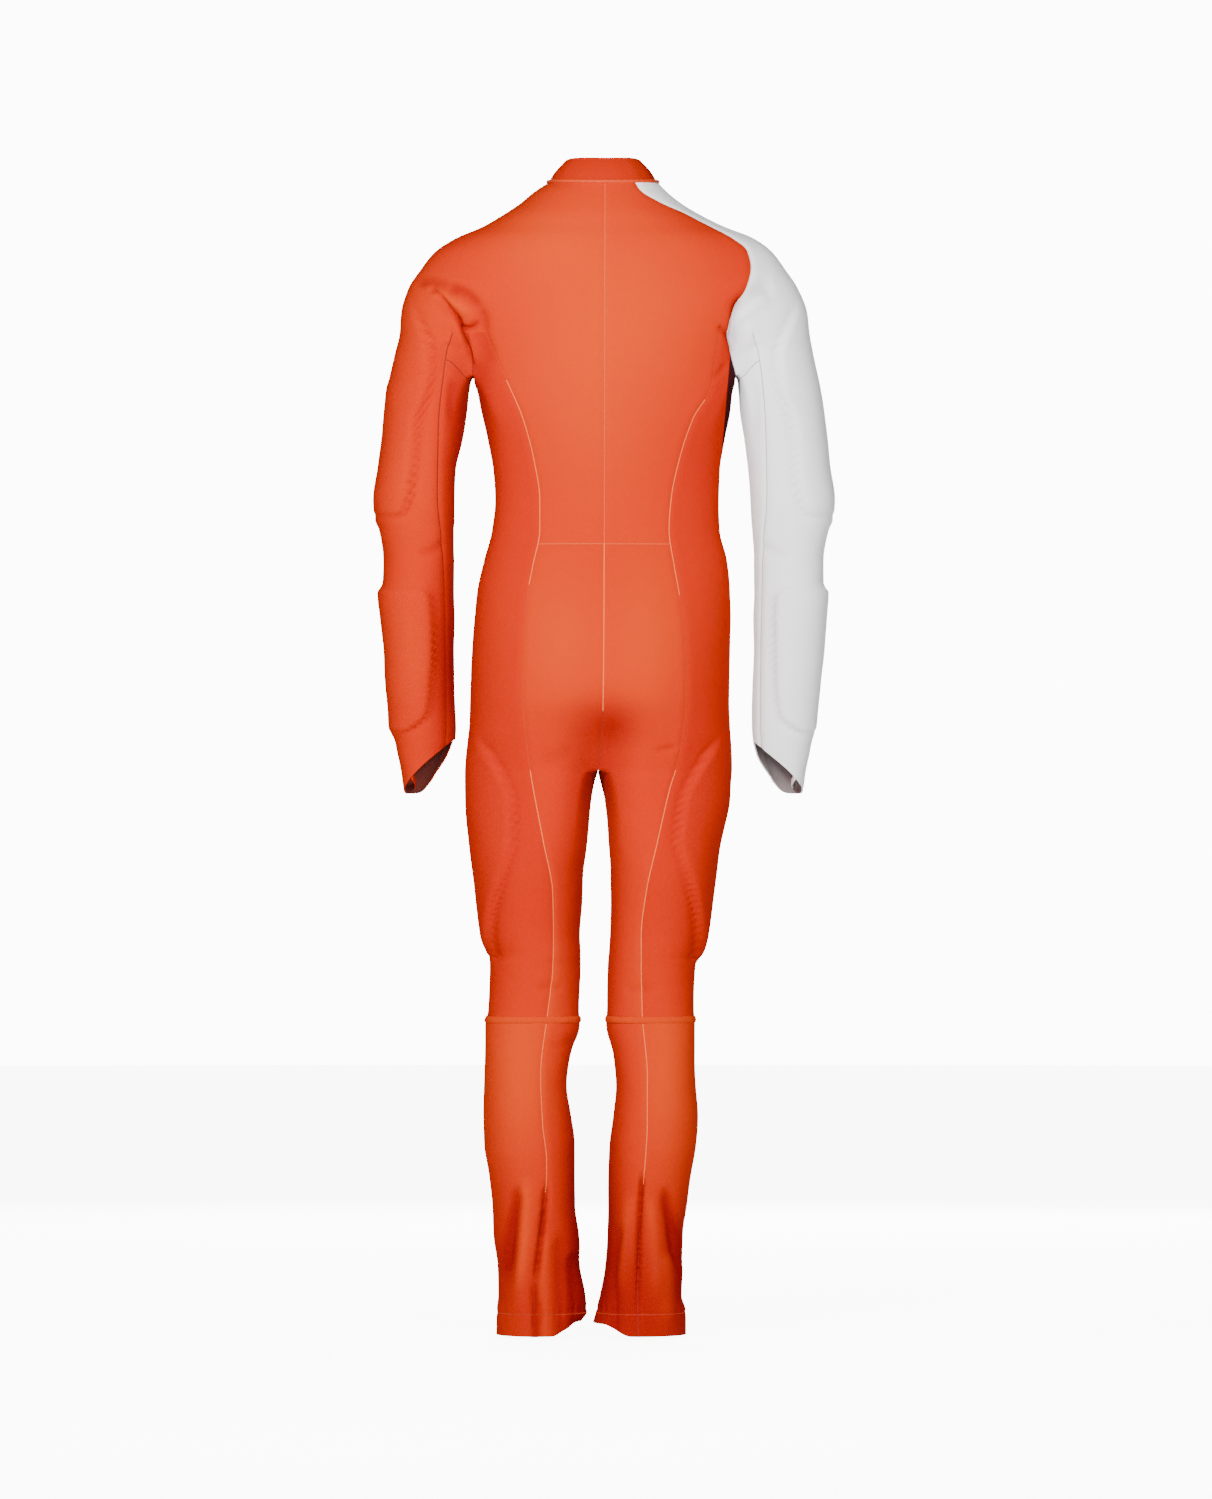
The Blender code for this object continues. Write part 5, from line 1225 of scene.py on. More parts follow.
def add_bump(tree, shader, height, strength, distance, normal=None):
    """Give the material a relief, on top of another one if that is given."""
    bump = node(tree, "ShaderNodeBump", Height=height, Strength=strength, Distance=distance)
    if normal is not None:
        tree.links.new(normal, bump.inputs["Normal"])
    tree.links.new(bump.outputs[0], shader.inputs["Normal"])


def noise(tree, vector, scale, detail=2.0):
    """Smooth noise from 0 to 1."""
    made = node(tree, "ShaderNodeTexNoise", Vector=vector, Scale=scale, Detail=detail)
    return made.outputs[0]


def marked(tree, name):
    """Value of one of the marks on the cloth's points."""
    made = node(tree, "ShaderNodeAttribute")
    made.attribute_name = name
    return made.outputs["Fac"]


def knit(name, base, pale, deep, painted_shade_factors=(0.56, 0.36, 0.9), sheen=0.04, speckle=0.35, specular=0.0):
    """Stretch knit: fine loops, pale elastic flecks, broad colour drift and a soft sheen, with painted
    highlights, the paleness of stretch and painted shade from the marks on its points, and painted shade
    between the loops.
    """
    material, tree, shader = new_material(name, 0.62, sheen=sheen, sheen_tint=pale, specular=specular)
    shader.inputs["Specular Tint"].default_value = (*pale, 1.0)
    relief, uv = knit_relief(tree, 0.85, 1.1)
    place = place_on(tree)
    zone, shaded, pad = (marked(tree, name) for name in ("pale", "deep", "pad"))
    drift = ramp(tree, noise(tree, place, 7.0, 3.0), 0.3, 0.7)
    colour = mixed(tree, maths(tree, "MULTIPLY", drift, 0.35), base, deep)
    # the pale mark blends in painted highlight and the paleness of stretch, the deep mark blends in painted
    # shade
    colour = mixed(tree, zone, colour, pale)
    colour = mixed(tree, shaded, colour, [c * share for c, share in zip(deep, painted_shade_factors)])
    flecks = ramp(tree, noise(tree, place, 1150.0, 1.0), 0.56, 0.72)
    spots = maths(tree, "MULTIPLY", flecks, scaled(tree, pad, 0.6, 0.4))
    colour = mixed(tree, maths(tree, "MULTIPLY", spots, speckle), colour,
                   [min(0.95, c * 1.3 + 0.03) for c in pale])
    shade = scaled(tree, relief, 0.10, 0.90)
    paint(tree, maths(tree, "SUBTRACT", 1.0, shade), colour, [c * 0.35 for c in deep])
    gloss = scaled(tree, noise(tree, uv, 400.0, 2.0), 0.16, 0.52)
    tree.links.new(gloss, shader.inputs["Roughness"])
    crumple = noise(tree, place, 90.0, 3.0)
    soft = node(tree, "ShaderNodeBump", Height=crumple, Strength=0.10, Distance=0.0012)
    add_bump(tree, shader, relief, 0.35, 0.00018, soft.outputs[0])
    return material


def orange_knit_dark_side():
    """The right side panel's knit, with the side panels' painted shade and a leaf-shaped painted shadow under
    the arm.
    """
    material = knit("orange_knit_dark_side", SHADED_SIDE_ORANGE, ORANGE, RED_ORANGE)
    tree = material.node_tree
    colour = tree.nodes["Principled BSDF"].inputs["Base Color"].links[0].from_socket
    # Painted shadow: a leaf-shaped zone under the right arm, blended to a near-black red
    parts = node(tree, "ShaderNodeSeparateXYZ", Vector=place_on(tree))
    edge = scaled(tree, parts.outputs[2], *UNDERARM_SHADOW_EDGE)
    beyond = maths(tree, "SUBTRACT", edge, parts.outputs[0])
    above_foot = ramp(tree, parts.outputs[2], *UNDERARM_SHADOW_END)
    zone = maths(tree, "MULTIPLY", ramp(tree, beyond, 0.0, 0.0009), above_foot)
    paint(tree, zone, colour, UNDERARM_SHADOW_COLOUR)
    return material


def white_knit():
    """The right sleeve's white knit."""
    return knit("white_knit", WHITE, (0.93, 0.93, 0.94), (0.82, 0.82, 0.84), painted_shade_factors=(0.70, 0.58, 0.60),
                sheen=0.05, speckle=0.2, specular=0.2)


def inner_knit(name, colour, lit):
    """The brushed inside of the cloth, darker and faintly ribbed."""
    material, tree, shader = new_material(name, 0.85, sheen=0.15, sheen_tint=lit)
    relief, uv = knit_relief(tree, 1.6, 1.3)
    fluff = noise(tree, uv, 900.0, 2.0)
    paint(tree, maths(tree, "MULTIPLY", relief, 0.6), colour, lit)
    soft = node(tree, "ShaderNodeBump", Height=fluff, Strength=0.2, Distance=0.0003)
    add_bump(tree, shader, relief, 0.5, 0.0003, soft.outputs[0])
    return material


def thread(name, colour):
    """Twisted sewing thread."""
    material, tree, shader = new_material(name, 0.6, sheen=0.05, sheen_tint=colour, specular=0.15)
    twist = noise(tree, place_on(tree), 2600.0, 1.0)
    paint(tree, ramp(tree, twist, 0.35, 0.7), colour, [c * 0.7 for c in colour])
    add_bump(tree, shader, twist, 0.3, 0.0001)
    return material


def woven_tape():
    """Zip tape: a fine plain weave."""
    material, tree, shader = new_material("zip_tape", 0.7, sheen=0.04, sheen_tint=LIT_AND_STRETCHED_ORANGE, specular=0.05)
    parts = node(tree, "ShaderNodeSeparateXYZ", Vector=place_on(tree))
    warp = maths(tree, "SINE", maths(tree, "MULTIPLY", parts.outputs[0], TURN / 0.0009))
    weft = maths(tree, "SINE", maths(tree, "MULTIPLY", parts.outputs[2], TURN / 0.0007))
    weave = maths(tree, "MULTIPLY", warp, weft)
    paint(tree, ramp(tree, weave, -1.0, 1.0), (0.52, 0.038, 0.010), (0.66, 0.056, 0.014))
    add_bump(tree, shader, weave, 0.4, 0.00015)
    return material


def moulded(name, colour):
    """Moulded coil plastic, with faint lighter patches of wear."""
    material, tree, shader = new_material(name, 0.38)
    grain = noise(tree, place_on(tree), 700.0, 2.0)
    paint(tree, ramp(tree, grain, 0.35, 0.75), colour, [c * 1.3 + 0.01 for c in colour])
    add_bump(tree, shader, grain, 0.1, 0.0001)
    return material


def zip_metal():
    """Satin painted metal with rubbed, brighter patches."""
    material, tree, shader = new_material("zip_metal", 0.34, metallic=0.9)
    place = place_on(tree)
    worn = ramp(tree, noise(tree, place, 420.0, 3.0), 0.45, 0.75)
    paint(tree, worn, (0.10, 0.10, 0.11), (0.34, 0.34, 0.36))
    tree.links.new(scaled(tree, worn, -0.12, 0.40), shader.inputs["Roughness"])
    add_bump(tree, shader, noise(tree, place, 1500.0, 2.0), 0.08, 0.0001)
    return material


# Meshes

def make_mesh(name, points, faces, materials, indexes=None, uvs=None, sharp=50, attributes=None):
    """One named object from points in millimetres. Edges over the sharp angle in degrees stay sharp."""
    mesh = bpy.data.meshes.new(name)
    mesh.from_pydata((np.asarray(points) * MM).tolist(), [], [list(map(int, face)) for face in faces])
    for material in materials:
        mesh.materials.append(material)
    if indexes is not None:
        mesh.polygons.foreach_set("material_index", np.asarray(indexes, np.int32))
    if uvs is not None:
        layer = mesh.uv_layers.new(name="cloth")
        layer.data.foreach_set("uv", np.asarray(uvs, np.float32).ravel())
    for key, values in (attributes or {}).items():
        made = mesh.attributes.new(key, "FLOAT", "POINT")
        made.data.foreach_set("value", np.asarray(values, np.float32))
    mesh.update()
    mesh.shade_smooth()
    mesh.set_sharp_from_angle(angle=math.radians(sharp))
    made = bpy.data.objects.new(name, mesh)
    bpy.context.scene.collection.objects.link(made)
    return made


def border_edges(faces):
    """Directed edges that only one face of a panel uses, with that face."""
    owner = {}
    for number, face in enumerate(faces):
        for i in range(4):
            owner[face[i], face[(i + 1) % 4]] = number
    return [(a, b, number) for (a, b), number in owner.items() if (b, a) not in owner]


def inset_of(points, borders, cross):
    """Offset of each border point that draws both of its edges back from the seam line."""
    pulls = {}
    for a, b, number in borders:
        inward = unit(np.cross(cross[number], points[b] - points[a]))
        pulls.setdefault(a, []).append(inward)
        pulls.setdefault(b, []).append(inward)
    offsets = {}
    for point, ways in pulls.items():
        total = ways[0] + ways[-1]
        offsets[point] = total * SHELL_GAP / 2 / max(1.0 + float(ways[0] @ ways[-1]), 0.3)
    return offsets


def row_groups(rows):
    """Numbers of a panel's faces, row by row."""
    return np.split(np.arange(len(rows)), np.flatnonzero(np.diff(rows)) + 1)


def cloth_uvs(points, faces, rows):
    """Lengths in metres across and down a panel, for the corners of its faces."""
    uvs = np.zeros((len(faces), 4, 2))
    down = 0.0
    for group in row_groups(rows):
        ring = faces[group]
        upper = np.linalg.norm(points[ring[:, 1]] - points[ring[:, 0]], axis=1)
        lower = np.linalg.norm(points[ring[:, 2]] - points[ring[:, 3]], axis=1)
        height = float(np.mean(np.linalg.norm(points[ring[:, 3]] - points[ring[:, 0]], axis=1)))
        top = np.concatenate([[0.0], np.cumsum(upper)]) - upper.sum() / 2
        low = np.concatenate([[0.0], np.cumsum(lower)]) - lower.sum() / 2
        corners = ((top[:-1], -down), (top[1:], -down), (low[1:], -down - height), (low[:-1], -down - height))
        for corner, (across, level) in enumerate(corners):
            uvs[group, corner] = np.column_stack([across, np.full(len(group), level)])
        down += height
    return uvs * MM


def make_shell(surface, name, normals, relief, marks, materials):
    """A panel as a thin closed shell, with raised outer face, inner face and rim, and the panel's cut."""
    chosen = np.flatnonzero(surface.labels == name)
    faces = surface.faces[chosen]
    listed = [tuple(int(v) for v in face) for face in faces]
    borders = border_edges(listed)
    offsets = inset_of(surface.points, borders, face_normals(surface.points, faces))
    used = np.unique(faces)
    number = np.full(len(surface.points), -1)
    number[used] = np.arange(len(used))
    moved = surface.points[used].copy()
    for v, offset in offsets.items():
        moved[number[v]] += offset
    outer = moved + normals[used] * relief[used][:, None]
    inner = moved + normals[used] * (np.minimum(relief[used], 0.0) - WALL)[:, None]
    shift = len(used)
    front = number[faces]
    back = front[:, ::-1] + shift
    rim = np.array([[number[b], number[a], number[a] + shift, number[b] + shift] for a, b, _ in borders])
    solid = np.concatenate([front, back, rim])
    uvs = cloth_uvs(surface.points, faces, surface.rows[chosen])
    all_uvs = np.concatenate([uvs, uvs[:, ::-1], np.zeros((len(rim), 4, 2))])
    indexes = np.concatenate([np.zeros(len(front)), np.ones(len(back)), np.zeros(len(rim))])
    attributes = {key: np.concatenate([values[used], values[used]]) for key, values in marks.items()}
    made = make_mesh("shell_" + name, np.concatenate([outer, inner]), solid, materials, indexes, all_uvs,
                     attributes=attributes)
    return made, measured_cut(surface.points, faces, surface.rows[chosen])


def measured_cut(points, faces, rows):
    """Widest row, length and area of a panel as it is worn, in metres."""
    widest, length = 0.0, 0.0
    for group in row_groups(rows):
        a, b, _, d = (points[faces[group, i]] for i in range(4))
        widest = max(widest, float(np.linalg.norm(b - a, axis=1).sum()))
        length += float(np.mean(np.linalg.norm(d - a, axis=1)))
    area = float(np.linalg.norm(face_normals(points, faces), axis=1).sum() / 2)
    return widest * MM, length * MM, area * MM * MM


def strip_mesh(sections, closed=False):
    """Points and faces of a bar along a path, from its cross-sections."""
    sections = np.asarray(sections, float)
    steps, count = sections.shape[:2]
    points = sections.reshape(-1, 3)
    faces = []
    for k in range(steps if closed else steps - 1):
        a, b = k * count, ((k + 1) % steps) * count
        for i in range(count):
            j = (i + 1) % count
            faces.append([a + i, a + j, b + j, b + i])
    if not closed:
        faces.append(list(range(count))[::-1])
        faces.append([(steps - 1) * count + i for i in range(count)])
    return points, faces


def facing_out(points, faces):
    """The faces, turned over if they enclose a negative volume."""
    middle = np.mean(points, axis=0)
    volume = 0.0
    for face in faces:
        corners = points[face] - middle
        for i in range(1, len(corners) - 1):
            volume += float(np.dot(corners[0], np.cross(corners[i], corners[i + 1])))
    return faces if volume > 0 else [list(face)[::-1] for face in faces]


def make_strip(name, sections, material, closed=False):
    """One named bar along a path."""
    points, faces = strip_mesh(sections, closed)
    return make_mesh(name, points, facing_out(points, faces), [material])


# Stitching

def resampled(path, normals, step):
    """Evenly spaced points along a path, with their normals and directions."""
    arc = arc_of(path)
    at = np.linspace(0.0, arc[-1], max(2, round(arc[-1] / step) + 1))
    points = np.column_stack([np.interp(at, arc, path[:, i]) for i in range(3)])
    ups = unit(np.column_stack([np.interp(at, arc, normals[:, i]) for i in range(3)]))
    ways = unit(np.gradient(points, axis=0))
    return points, ups, ways


def stitch_rows(points, ups, ways, length, width, height, slant):
    """Small spindles that cross a path to and fro, as joined points and faces."""
    sideways = np.cross(ups, ways)
    sign = np.where(np.arange(len(points)) % 2 == 0, 1.0, -1.0)[:, None]
    along = unit(sideways + ways * slant * sign)
    across = unit(np.cross(ups, along))
    corners = [along * length / 2, across * width / 2, -along * length / 2, -across * width / 2,
               ups * height, -ups * height]
    made = np.stack([points + corner for corner in corners], axis=1).reshape(-1, 3)
    above = [[i, (i + 1) % 4, 4] for i in range(4)]
    below = [[(i + 1) % 4, i, 5] for i in range(4)]
    pattern = np.array(above + below)
    faces = (np.arange(len(points))[:, None, None] * 6 + pattern[None]).reshape(-1, 3)
    return made, faces


def make_seam(name, lines, surface_points, normals, cord_material, thread_material):
    """A flat seam along lines of the surface, with ladder stitches over it."""
    points, faces, indexes = [], [], []
    total = 0
    for line in lines:
        if len(line) < 3:
            continue
        path, ups, ways = resampled(surface_points[line], normals[line], 2.4)
        sideways = np.cross(ups, ways)
        sections = [[p + s * SEAM_HALF_WIDTH * a + u * b for a, b in SEAM_PROFILE]
                    for p, s, u in zip(path, sideways, ups)]
        made, quads = strip_mesh(sections)
        quads = facing_out(made, quads)
        points.append(made)
        faces += [[v + total for v in face] for face in quads]
        indexes += [0] * len(quads)
        total += len(made)
        path, ups, ways = resampled(surface_points[line], normals[line], 1.15)
        made, triangles = stitch_rows(path + ups * (SEAM_HEIGHT + 0.02), ups, ways, 2.5 * SEAM_HALF_WIDTH,
                                      0.45, 0.16, 0.45)
        points.append(made)
        faces += (triangles + total).tolist()
        indexes += [1] * len(triangles)
        total += len(made)
    return make_mesh(name, np.concatenate(points), faces, [cord_material, thread_material], indexes)


# Collar

def neck_gap_angle():
    """Angle between the middle of the front and the edge of the zip opening, at the neck."""
    return math.asin((ZIP_HALF_WIDTH + SEAM_GAP) / float(curve(YOKE, "left", NECK)))


def neck_path(count):
    """Points round the neckline from the left edge of the zip to its right edge, with their angles."""
    gap = neck_gap_angle()
    angles = np.linspace(math.pi - gap, -math.pi + gap, count)
    xs, ys = yoke_at(angles, NECK)
    return angles, np.column_stack([xs, ys, NECK + neck_tilt(angles, NECK)])


def collar_point(angle, base, height, out):
    """A point on the collar: it leans in as it rises, further away from the zip, and is highest behind."""
    away = np.array([math.sin(angle), math.cos(angle), 0.0])
    from_zip = float(ease((math.cos(angle) + 0.9) / 1.2))
    lean = 0.9 + 4.6 * height + COLLAR_LEAN * from_zip * height ** 1.5 + 1.6 * height ** 4
    behind_neck = 1.0 - (1.0 - max(math.cos(angle), 0.0)) ** 2
    rise = COLLAR_HEIGHT + (COLLAR_BACK_HEIGHT - COLLAR_HEIGHT) * behind_neck
    return base + away * (out - lean) + UP * (SEAM_GAP + rise * height)


def make_collar(outside, inside):
    """Stand collar of doubled knit: a rolled top edge and a faint ripple round it."""
    angles, path = neck_path(161)
    heights = np.linspace(0.0, 1.0, 13)
    middle = float(curve(CENTRE_SEAM, "x", NECK))
    sections = []
    for angle, base in zip(angles, path):
        ripple = 0.18 * math.sin(angle * 17.0 + 0.6 * math.sin(angle * 5.0))
        outer = [collar_point(angle, base, h, ripple * math.sin(math.pi * h)) for h in heights]
        inner = [collar_point(angle, base, h, -WALL) for h in heights[::-1]]
        top = [(outer[-1] + inner[0]) / 2 + (outer[-1] - inner[0]) / 2 * math.cos(a)
               + UP * 0.75 * math.sin(a) for a in np.linspace(0.0, math.pi, 7)[1:-1]]
        sections.append(outer + top + inner)
    for section, sign in ((sections[0], 1.0), (sections[-1], -1.0)):
        for point in section:
            point[0] = middle + sign * ZIP_HALF_WIDTH
    points, faces = strip_mesh(sections)
    faces = facing_out(points, faces)
    count = len(sections[0])
    arc = np.linspace(0.0, COLLAR_LENGTH, len(sections))
    first_inner = len(heights) + 4
    uvs, indexes = [], []
    for face in faces:
        uvs += [(arc[v // count] * MM, v % count * 1.3 * MM) for v in face]
        indexes.append(1 if min(v % count for v in face) >= first_inner else 0)
    return make_mesh("collar_cloth", points, faces, [outside, inside], indexes, uvs, sharp=60)


def make_neck_binding(material):
    """The rolled seam at the collar's base, overlocked with thread that runs round it."""
    angles, path = neck_path(241)
    sections = []
    for i, (angle, base) in enumerate(zip(angles, path)):
        away = np.array([math.sin(angle), math.cos(angle), 0.0])
        centre = base - away * 0.1 + UP * (BINDING_RADIUS - 0.9)
        ring = []
        for k in range(14):
            turn = -TURN * k / 14
            radius = BINDING_RADIUS * (0.96 + 0.06 * math.sin(i * 1.25 + turn * 2))
            ring.append(centre + radius * (math.cos(turn) * away + math.sin(turn) * UP))
        sections.append(ring)
    return make_strip("neck_seam_roll", sections, material)


# Knee bands, thumb loops and hems

def make_knee_band(side, material):
    """The knee seam's raised fold, with soft edges and a faint wave round it."""
    section = leg_at(side)
    angles = np.linspace(0.0, TURN, 181)[:-1]
    profile = [(-0.92, 0.1), (-0.76, 0.5), (-0.45, 0.85), (0.0, 1.0), (0.45, 0.9), (0.78, 0.6), (0.92, 0.1),
               (0.5, -0.25), (-0.5, -0.25)]
    sections = []
    for angle in angles:
        corners = []
        for level, share in profile:
            wave = 0.12 * math.sin(angle * 23.0 + 1.7 * math.sin(angle * 4.0))
            z = KNEE_SEAM + level * BAND_HALF_HEIGHT
            x, y = section(angle, z)
            near_x, near_y = section(angle + 0.01, z)
            along = unit(np.array([near_x - x, near_y - y]))
            away = np.array([-along[1], along[0], 0.0])
            corners.append(np.array([x, y, z]) + away * (0.2 + (BAND_THICKNESS + wave) * share))
        sections.append(corners)
    return make_strip("knee_fold_" + side, sections, material, closed=True)


def cuff_inside(section, angles, z):
    """Inside face of the sleeve at a height, as a closed polygon with a small gap left free."""
    xs, ys = section(angles, z)
    ring = np.column_stack([xs, ys])
    after = np.roll(ring, -1, axis=0) - ring
    before = ring - np.roll(ring, 1, axis=0)
    along = unit(unit(after) + unit(before))
    away = np.column_stack([-along[:, 1], along[:, 0]])
    return ring - away * (WALL + 0.1)


def make_thumb_loop(side, angles, material):
    """A strap across the cuff's opening, near its outer tip, sewn inside the back edge and the front edge."""
    section = arm_at(side)
    ends = []
    for z, back in ((LOOP_BACK, True), (LOOP_FRONT, False)):
        ring = cuff_inside(section, angles, z - LOOP_WIDTH / 2)
        x = SIDES[side] * (float(curve(ARMS, "outer_" + side, z)) - LOOP_INSET)
        middle = float(np.mean(ring[:, 1]))
        half = ring[(ring[:, 1] > middle) == back]
        half = half[np.argsort(half[:, 0])]
        ends.append(np.array([x, float(np.interp(x, half[:, 0], half[:, 1])), z]))
    sections = []
    for t in np.linspace(0.0, 1.0, 25):
        bow = 4 * t * (1 - t)
        middle = ends[0] + (ends[1] - ends[0]) * t + np.array([-SIDES[side] * 2.0 * bow, 0.0, -1.5 * bow])
        ring = []
        for k in range(12):
            turn = TURN * k / 12
            across = rounded(math.cos(turn), 0.5) * LOOP_THICKNESS / 2
            down = rounded(math.sin(turn), 0.7) * LOOP_WIDTH / 2
            ring.append(middle + np.array([across, 0.0, down]))
        sections.append(ring)
    return make_strip("thumb_strap_" + side, sections, material)


# Front zip

def zip_line(surface, normals):
    """Rows down the zip, from the top of the collar: its middle, its two edges and the outward direction."""
    columns = surface.zip_columns
    base = surface.points[columns["centre_front"][0]]
    half = np.array([ZIP_HALF_WIDTH, 0.0, 0.0])
    rows = []
    for height in (1.0, 0.82, 0.6, 0.4, 0.2, 0.0):
        point = collar_point(math.pi, base, height, 0.0)
        rows.append((point, {"left": point + half, "right": point - half}, np.array([0.0, -0.97, 0.24])))
    for k in range(1, len(columns["centre_front"])):
        middle = columns["centre_front"][k]
        edges = {side: surface.points[columns["zip_" + side][k]] for side in SIDES}
        rows.append((surface.points[middle], edges, normals[middle]))
        if surface.points[middle][2] < ZIP_END + 1.0:
            break
    return rows


def make_tape(rows, side, material):
    """Zip tape with a rib near the coil and a faint wave along its length."""
    sections = []
    for i, (middle, edges, out) in enumerate(rows):
        way = unit(edges[side] - middle)
        inner = middle + way * 0.15
        outer = edges[side] - way * 0.2
        wave = out * 0.12 * math.sin(i * 0.45)
        across = [inner + (outer - inner) * t + wave * math.sin(math.pi * t)
                  for t in (0, 0.3, 0.34, 0.38, 0.7, 1)]
        across[2] = across[2] + out * 0.3
        sections.append(across + [outer - out * TAPE_THICKNESS, inner - out * TAPE_THICKNESS])
    return make_strip("zip_tape_cloth_" + side, sections, material)


def make_coil(rows, material):
    """Interlocked coil teeth: rounded bars from each side in turn, on a low cord down the middle."""
    path = np.array([row[0] for row in rows])
    ups = np.array([row[2] for row in rows])
    points, ups, ways = resampled(path, ups, 0.75)
    across = np.array([1.0, 0.0, 0.0])
    sections = [[p + across * 1.2 + u * 0.1, p + across * 0.9 + u * 0.9, p - across * 0.9 + u * 0.9,
                 p - across * 1.2 + u * 0.1] for p, u in zip(points[::3], ups[::3])]
    cord, faces = strip_mesh(sections)
    faces = facing_out(cord, faces)
    parts = [cord]
    total = len(cord)
    profile = [(0.0, 0.45), (0.22, 1.15), (0.75, 1.5), (1.0, 1.2)]
    for i, (p, u, w) in enumerate(zip(points, ups, ways)):
        sign = 1.0 if i % 2 else -1.0
        ring = []
        for share, high in profile:
            at = p + across * sign * (2.6 - 3.4 * share)
            for du, dw in ((0.28, 0.0), (0.0, 0.3), (-0.28, 0.0), (0.0, -0.3)):
                ring.append(at + u * (high + du) + w * dw)
        ring = np.array(ring)
        bar = []
        for k in range(len(profile) - 1):
            for j in range(4):
                bar.append([k * 4 + j, k * 4 + (j + 1) % 4, k * 4 + 4 + (j + 1) % 4, k * 4 + 4 + j])
        bar += [[3, 2, 1, 0], [12, 13, 14, 15]]
        bar = bar if sign < 0 else [face[::-1] for face in bar]
        faces += [[v + total for v in face] for face in bar]
        parts.append(ring)
        total += len(ring)
    return make_mesh("zip_teeth", np.concatenate(parts), faces, [material])


# Stage, lights and camera

def make_stage():
    """A pale floor just under the hems, and a white surround."""
    bpy.ops.mesh.primitive_circle_add(vertices=96, radius=9.0, fill_type="NGON", location=(0, 0, FLOOR))
    floor = bpy.context.object
    floor.name = "floor"
    material, tree, shader = new_material("pale_floor", 0.9)
    paint(tree, noise(tree, place_on(tree), 3.0), (0.88, 0.88, 0.88), (0.90, 0.90, 0.90))
    glow = tree.nodes.new("ShaderNodeEmission")
    seen = tree.nodes.new("ShaderNodeLightPath").outputs["Is Camera Ray"]
    tree.links.new(maths(tree, "MULTIPLY", seen, FLOOR_GLOW), glow.inputs[1])
    both = tree.nodes.new("ShaderNodeAddShader")
    tree.links.new(shader.outputs[0], both.inputs[0])
    tree.links.new(glow.outputs[0], both.inputs[1])
    tree.links.new(both.outputs[0], tree.nodes["Material Output"].inputs[0])
    floor.data.materials.append(material)
    world = bpy.data.worlds.new("studio")
    world.use_nodes = True
    bpy.context.scene.world = world
    tree = world.node_tree
    background = tree.nodes["Background"]
    background.inputs[0].default_value = (1.0, 1.0, 1.0, 1.0)
    seen = tree.nodes.new("ShaderNodeLightPath").outputs["Is Camera Ray"]
    strength = scaled(tree, seen, WHITE_SURROUND - WORLD_STRENGTH, WORLD_STRENGTH)
    tree.links.new(strength, background.inputs[1])


def add_light(name, place, size, power, target=(0.0, 0.0, -0.55)):
    """A white soft box that faces its target."""
    data = bpy.data.lights.new(name, "AREA")
    data.shape = "RECTANGLE"
    data.size, data.size_y = size
    data.energy = power
    made = bpy.data.objects.new(name, data)
    made.location = place
    made.rotation_euler = (Vector(target) - Vector(place)).to_track_quat("-Z", "Y").to_euler()
    bpy.context.scene.collection.objects.link(made)


def make_lights():
    """Large soft boxes round the camera, with weaker ones round the hidden side."""
    add_light("key", (0.72, 2.2, 0.6), (0.55, 0.55), 100.0, target=(0.0, 0.0, -0.4))
    add_light("second", (-0.6, 2.3, 0.2), (0.5, 0.5), 52.0, target=(0.0, 0.0, -0.4))
    add_light("far_left", (0.5, -2.8, 0.2), (1.2, 1.6), 84.0)
    add_light("far_right", (-0.7, -2.8, -0.1), (1.2, 1.6), 62.0)


def make_camera():
    """A long lens behind the suit, level with the middle of the picture."""
    data = bpy.data.cameras.new("camera")
    data.sensor_width = 36.0
    data.lens = CAMERA_LENS
    distance = PICTURE_HEIGHT * MM * data.lens / data.sensor_width
    made = bpy.data.objects.new("camera", data)
    made.location = (PICTURE_MIDDLE[0] * MM, distance, PICTURE_MIDDLE[1] * MM)
    made.rotation_euler = (math.radians(90), 0.0, math.radians(180))
    data.clip_end = 60.0
    bpy.context.scene.collection.objects.link(made)
    bpy.context.scene.camera = made


def dress(piece, body, slot, *nodes):
    """Attach a piece to its body and hide the nodes that it replaces. The material slot is not used."""
    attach(piece, body)
    if nodes:
        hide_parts(*nodes)


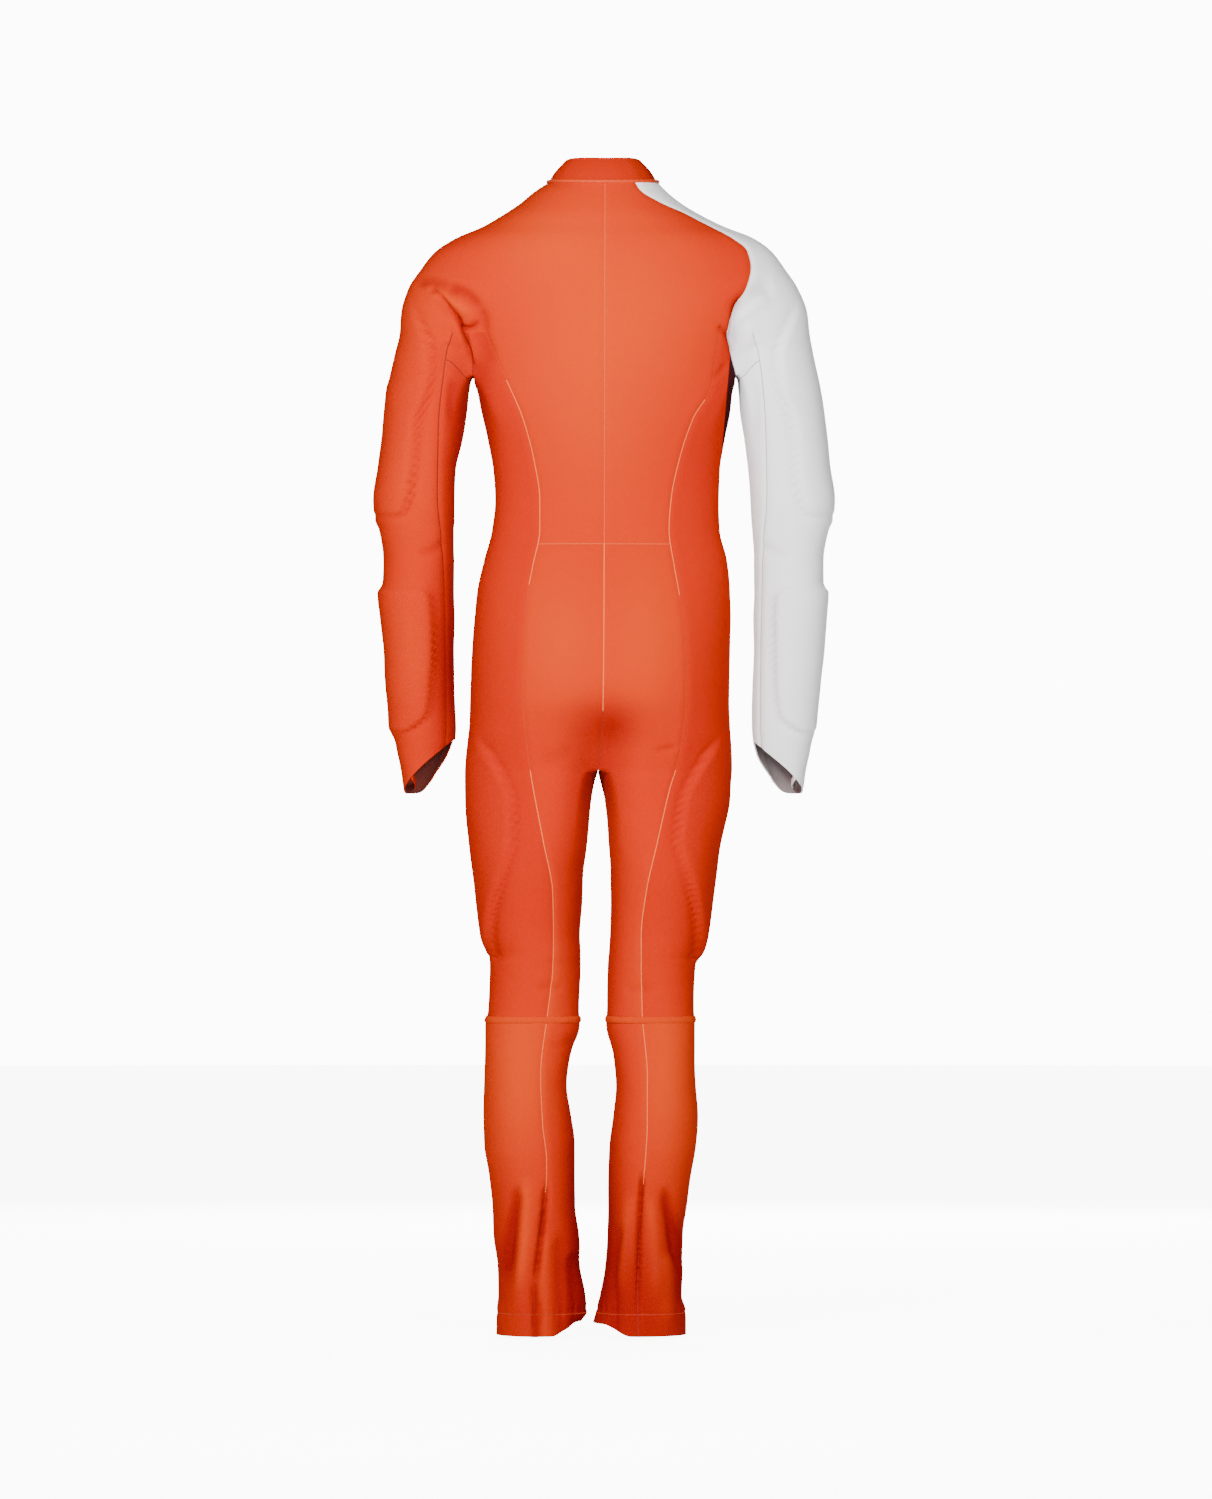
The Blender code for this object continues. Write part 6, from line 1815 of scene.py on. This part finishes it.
def main():
    """Build the cloth, its seams, the collar, the zip and the studio."""
    surface = build_suit(DETAIL)
    normals = point_normals(surface.points, surface.faces)
    edges = seam_edges(surface)
    lines = {pair: chains([edge for edge in found if not surface.join_row.issuperset(edge)])
             for pair, found in edges.items()}
    seam_points = sorted({p for pair in SEAM_NAMES for line in lines[pair] for p in line})
    thickness, pucker, pads = pads_on(surface.points)
    folds = creases_on(surface.points)
    ridges = np.maximum(folds, 0.0)
    troughs = np.maximum(-folds - 0.4, 0.0)
    # Painted highlight on crease ridges and pucker rises, and painted shade in crease troughs and pucker
    # grooves, added to the painted zones
    pale = zones_on(surface.points, normals, STRETCH_AND_HIGHLIGHT_ZONES) + 0.16 * ridges + 0.35 * pucker
    deep = zones_on(surface.points, normals, SHADE_ZONES) + 0.17 * troughs - 0.45 * pucker - 0.07 * ridges
    marks = {"pale": np.clip(pale, 0.0, 1.0), "deep": np.clip(deep, 0.0, 1.0), "pad": pads}
    relief = (thickness + pucker + folds + unevenness(surface.points)
              + seams_on(surface.points, seam_points) + hems_on(surface.points))
    raised = surface.points + normals * relief[:, None]
    raised_normals = point_normals(raised, surface.faces)

    orange = knit("orange_knit", ORANGE, LIT_AND_STRETCHED_ORANGE, RED_ORANGE)
    # The side panels' knit carries painted shade in its deeper base colour.
    shaded_side_knit = knit("orange_knit_shaded_side", SHADED_SIDE_ORANGE, ORANGE, RED_ORANGE)
    underarm_shadow_knit = orange_knit_dark_side()
    white = white_knit()
    # The knee band is made wholly of the paler orange: painted highlight on the raised fold, whose own colour
    # is the cloth's.
    band_knit = knit("band_knit", LIT_AND_STRETCHED_ORANGE, LIT_AND_STRETCHED_ORANGE, ORANGE)
    inside_orange = inner_knit("inside_knit", (0.085, 0.010, 0.006), (0.17, 0.020, 0.010))
    inside_white = inner_knit("inside_white_knit", (0.16, 0.13, 0.13), (0.26, 0.22, 0.22))
    threads = {kind: (thread(kind + "_seam_thread", cord), thread(kind + "_thread", stitches))
               for kind, (cord, stitches) in THREADS.items()}
    collar_outside = knit("collar_knit", (0.43, 0.016, 0.0008), (0.48, 0.027, 0.0015), (0.37, 0.010, 0.0008))

    for name in sorted(set(surface.labels) - {""}):
        name = str(name)
        is_white = name in ("sleeve_upper_right", "sleeve_under_right", "underarm_gusset_right")
        outside = white if is_white else {"side_right": underarm_shadow_knit, "side_left": shaded_side_knit}.get(name, orange)
        inside = inside_white if is_white else inside_orange
        shell, (width, length, area) = make_shell(surface, name, normals, relief, marks, [outside, inside])
        dress(shell, "suit", "white_knit" if is_white else "orange_knit", name)
        area = min(max(area, LEAST_FILL * width * length), width * length)

    for pair, seam in SEAM_NAMES.items():
        kind = "white" if seam in WHITE_SEAMS else "dark" if seam in DARK_SEAMS else "pale"
        stretches = SEAM_STRETCHES.get(seam, [(9.0, kind)])
        bottoms = [top - ROW_STEP for top, _ in stretches[1:]] + [HEM - 9.0]  # below every row
        for number, ((top, stretch_kind), bottom) in enumerate(zip(stretches, bottoms)):
            part = [[p for p in line if bottom < surface.points[p][2] <= top] for line in lines[pair]]
            name = f"seam_{seam}_{number + 1}" if len(stretches) > 1 else "seam_" + seam
            made = make_seam(name, part, raised, raised_normals, *threads[stretch_kind])
            dress(made, "suit", "white_knit" if seam in WHITE_SEAMS else "seam_binding")

    collar = make_collar(collar_outside, inside_orange)
    dress(collar, "suit", "collar_knit", "collar")
    binding = make_neck_binding(thread("binding_cloth", (0.60, 0.045, 0.005)))
    dress(binding, "suit", "seam_binding", "neck_binding")
    for side in SIDES:
        dress(make_knee_band(side, band_knit), "suit", "seam_binding", "knee_band_" + side)
        hem_line = surface.hem_lines[side]
        stitches = make_seam("hem_stitches_" + side, [hem_line], raised, raised_normals, *threads["hem"])
        dress(stitches, "suit", "seam_binding")
        strap = make_thumb_loop(side, surface.cuff_angles[side], white if side == "right" else orange)
        dress(strap, "suit", "white_knit" if side == "right" else "orange_knit", "thumb_loop_" + side)
    rows = zip_line(surface, normals)
    for side in SIDES:
        tape = make_tape(rows, side, woven_tape())
        dress(tape, "suit", "zip_tape", "zip_tape_" + side)
    dress(make_coil(rows, moulded("zip_coil", (0.46, 0.034, 0.010))), "suit", "zip_coil", "zip_coil")
    metal = zip_metal()
    for name in ("zip_slider", "zip_pull"):
        carried = frame["nodes"][name]
        carried.data.materials.clear()
        carried.data.materials.append(metal)
        rounding = carried.modifiers.new("rounding", "BEVEL")
        rounding.width = 0.00025
        rounding.segments = 2
        rounding.angle_limit = math.radians(40)
    make_stage()
    make_lights()
    make_camera()


main()
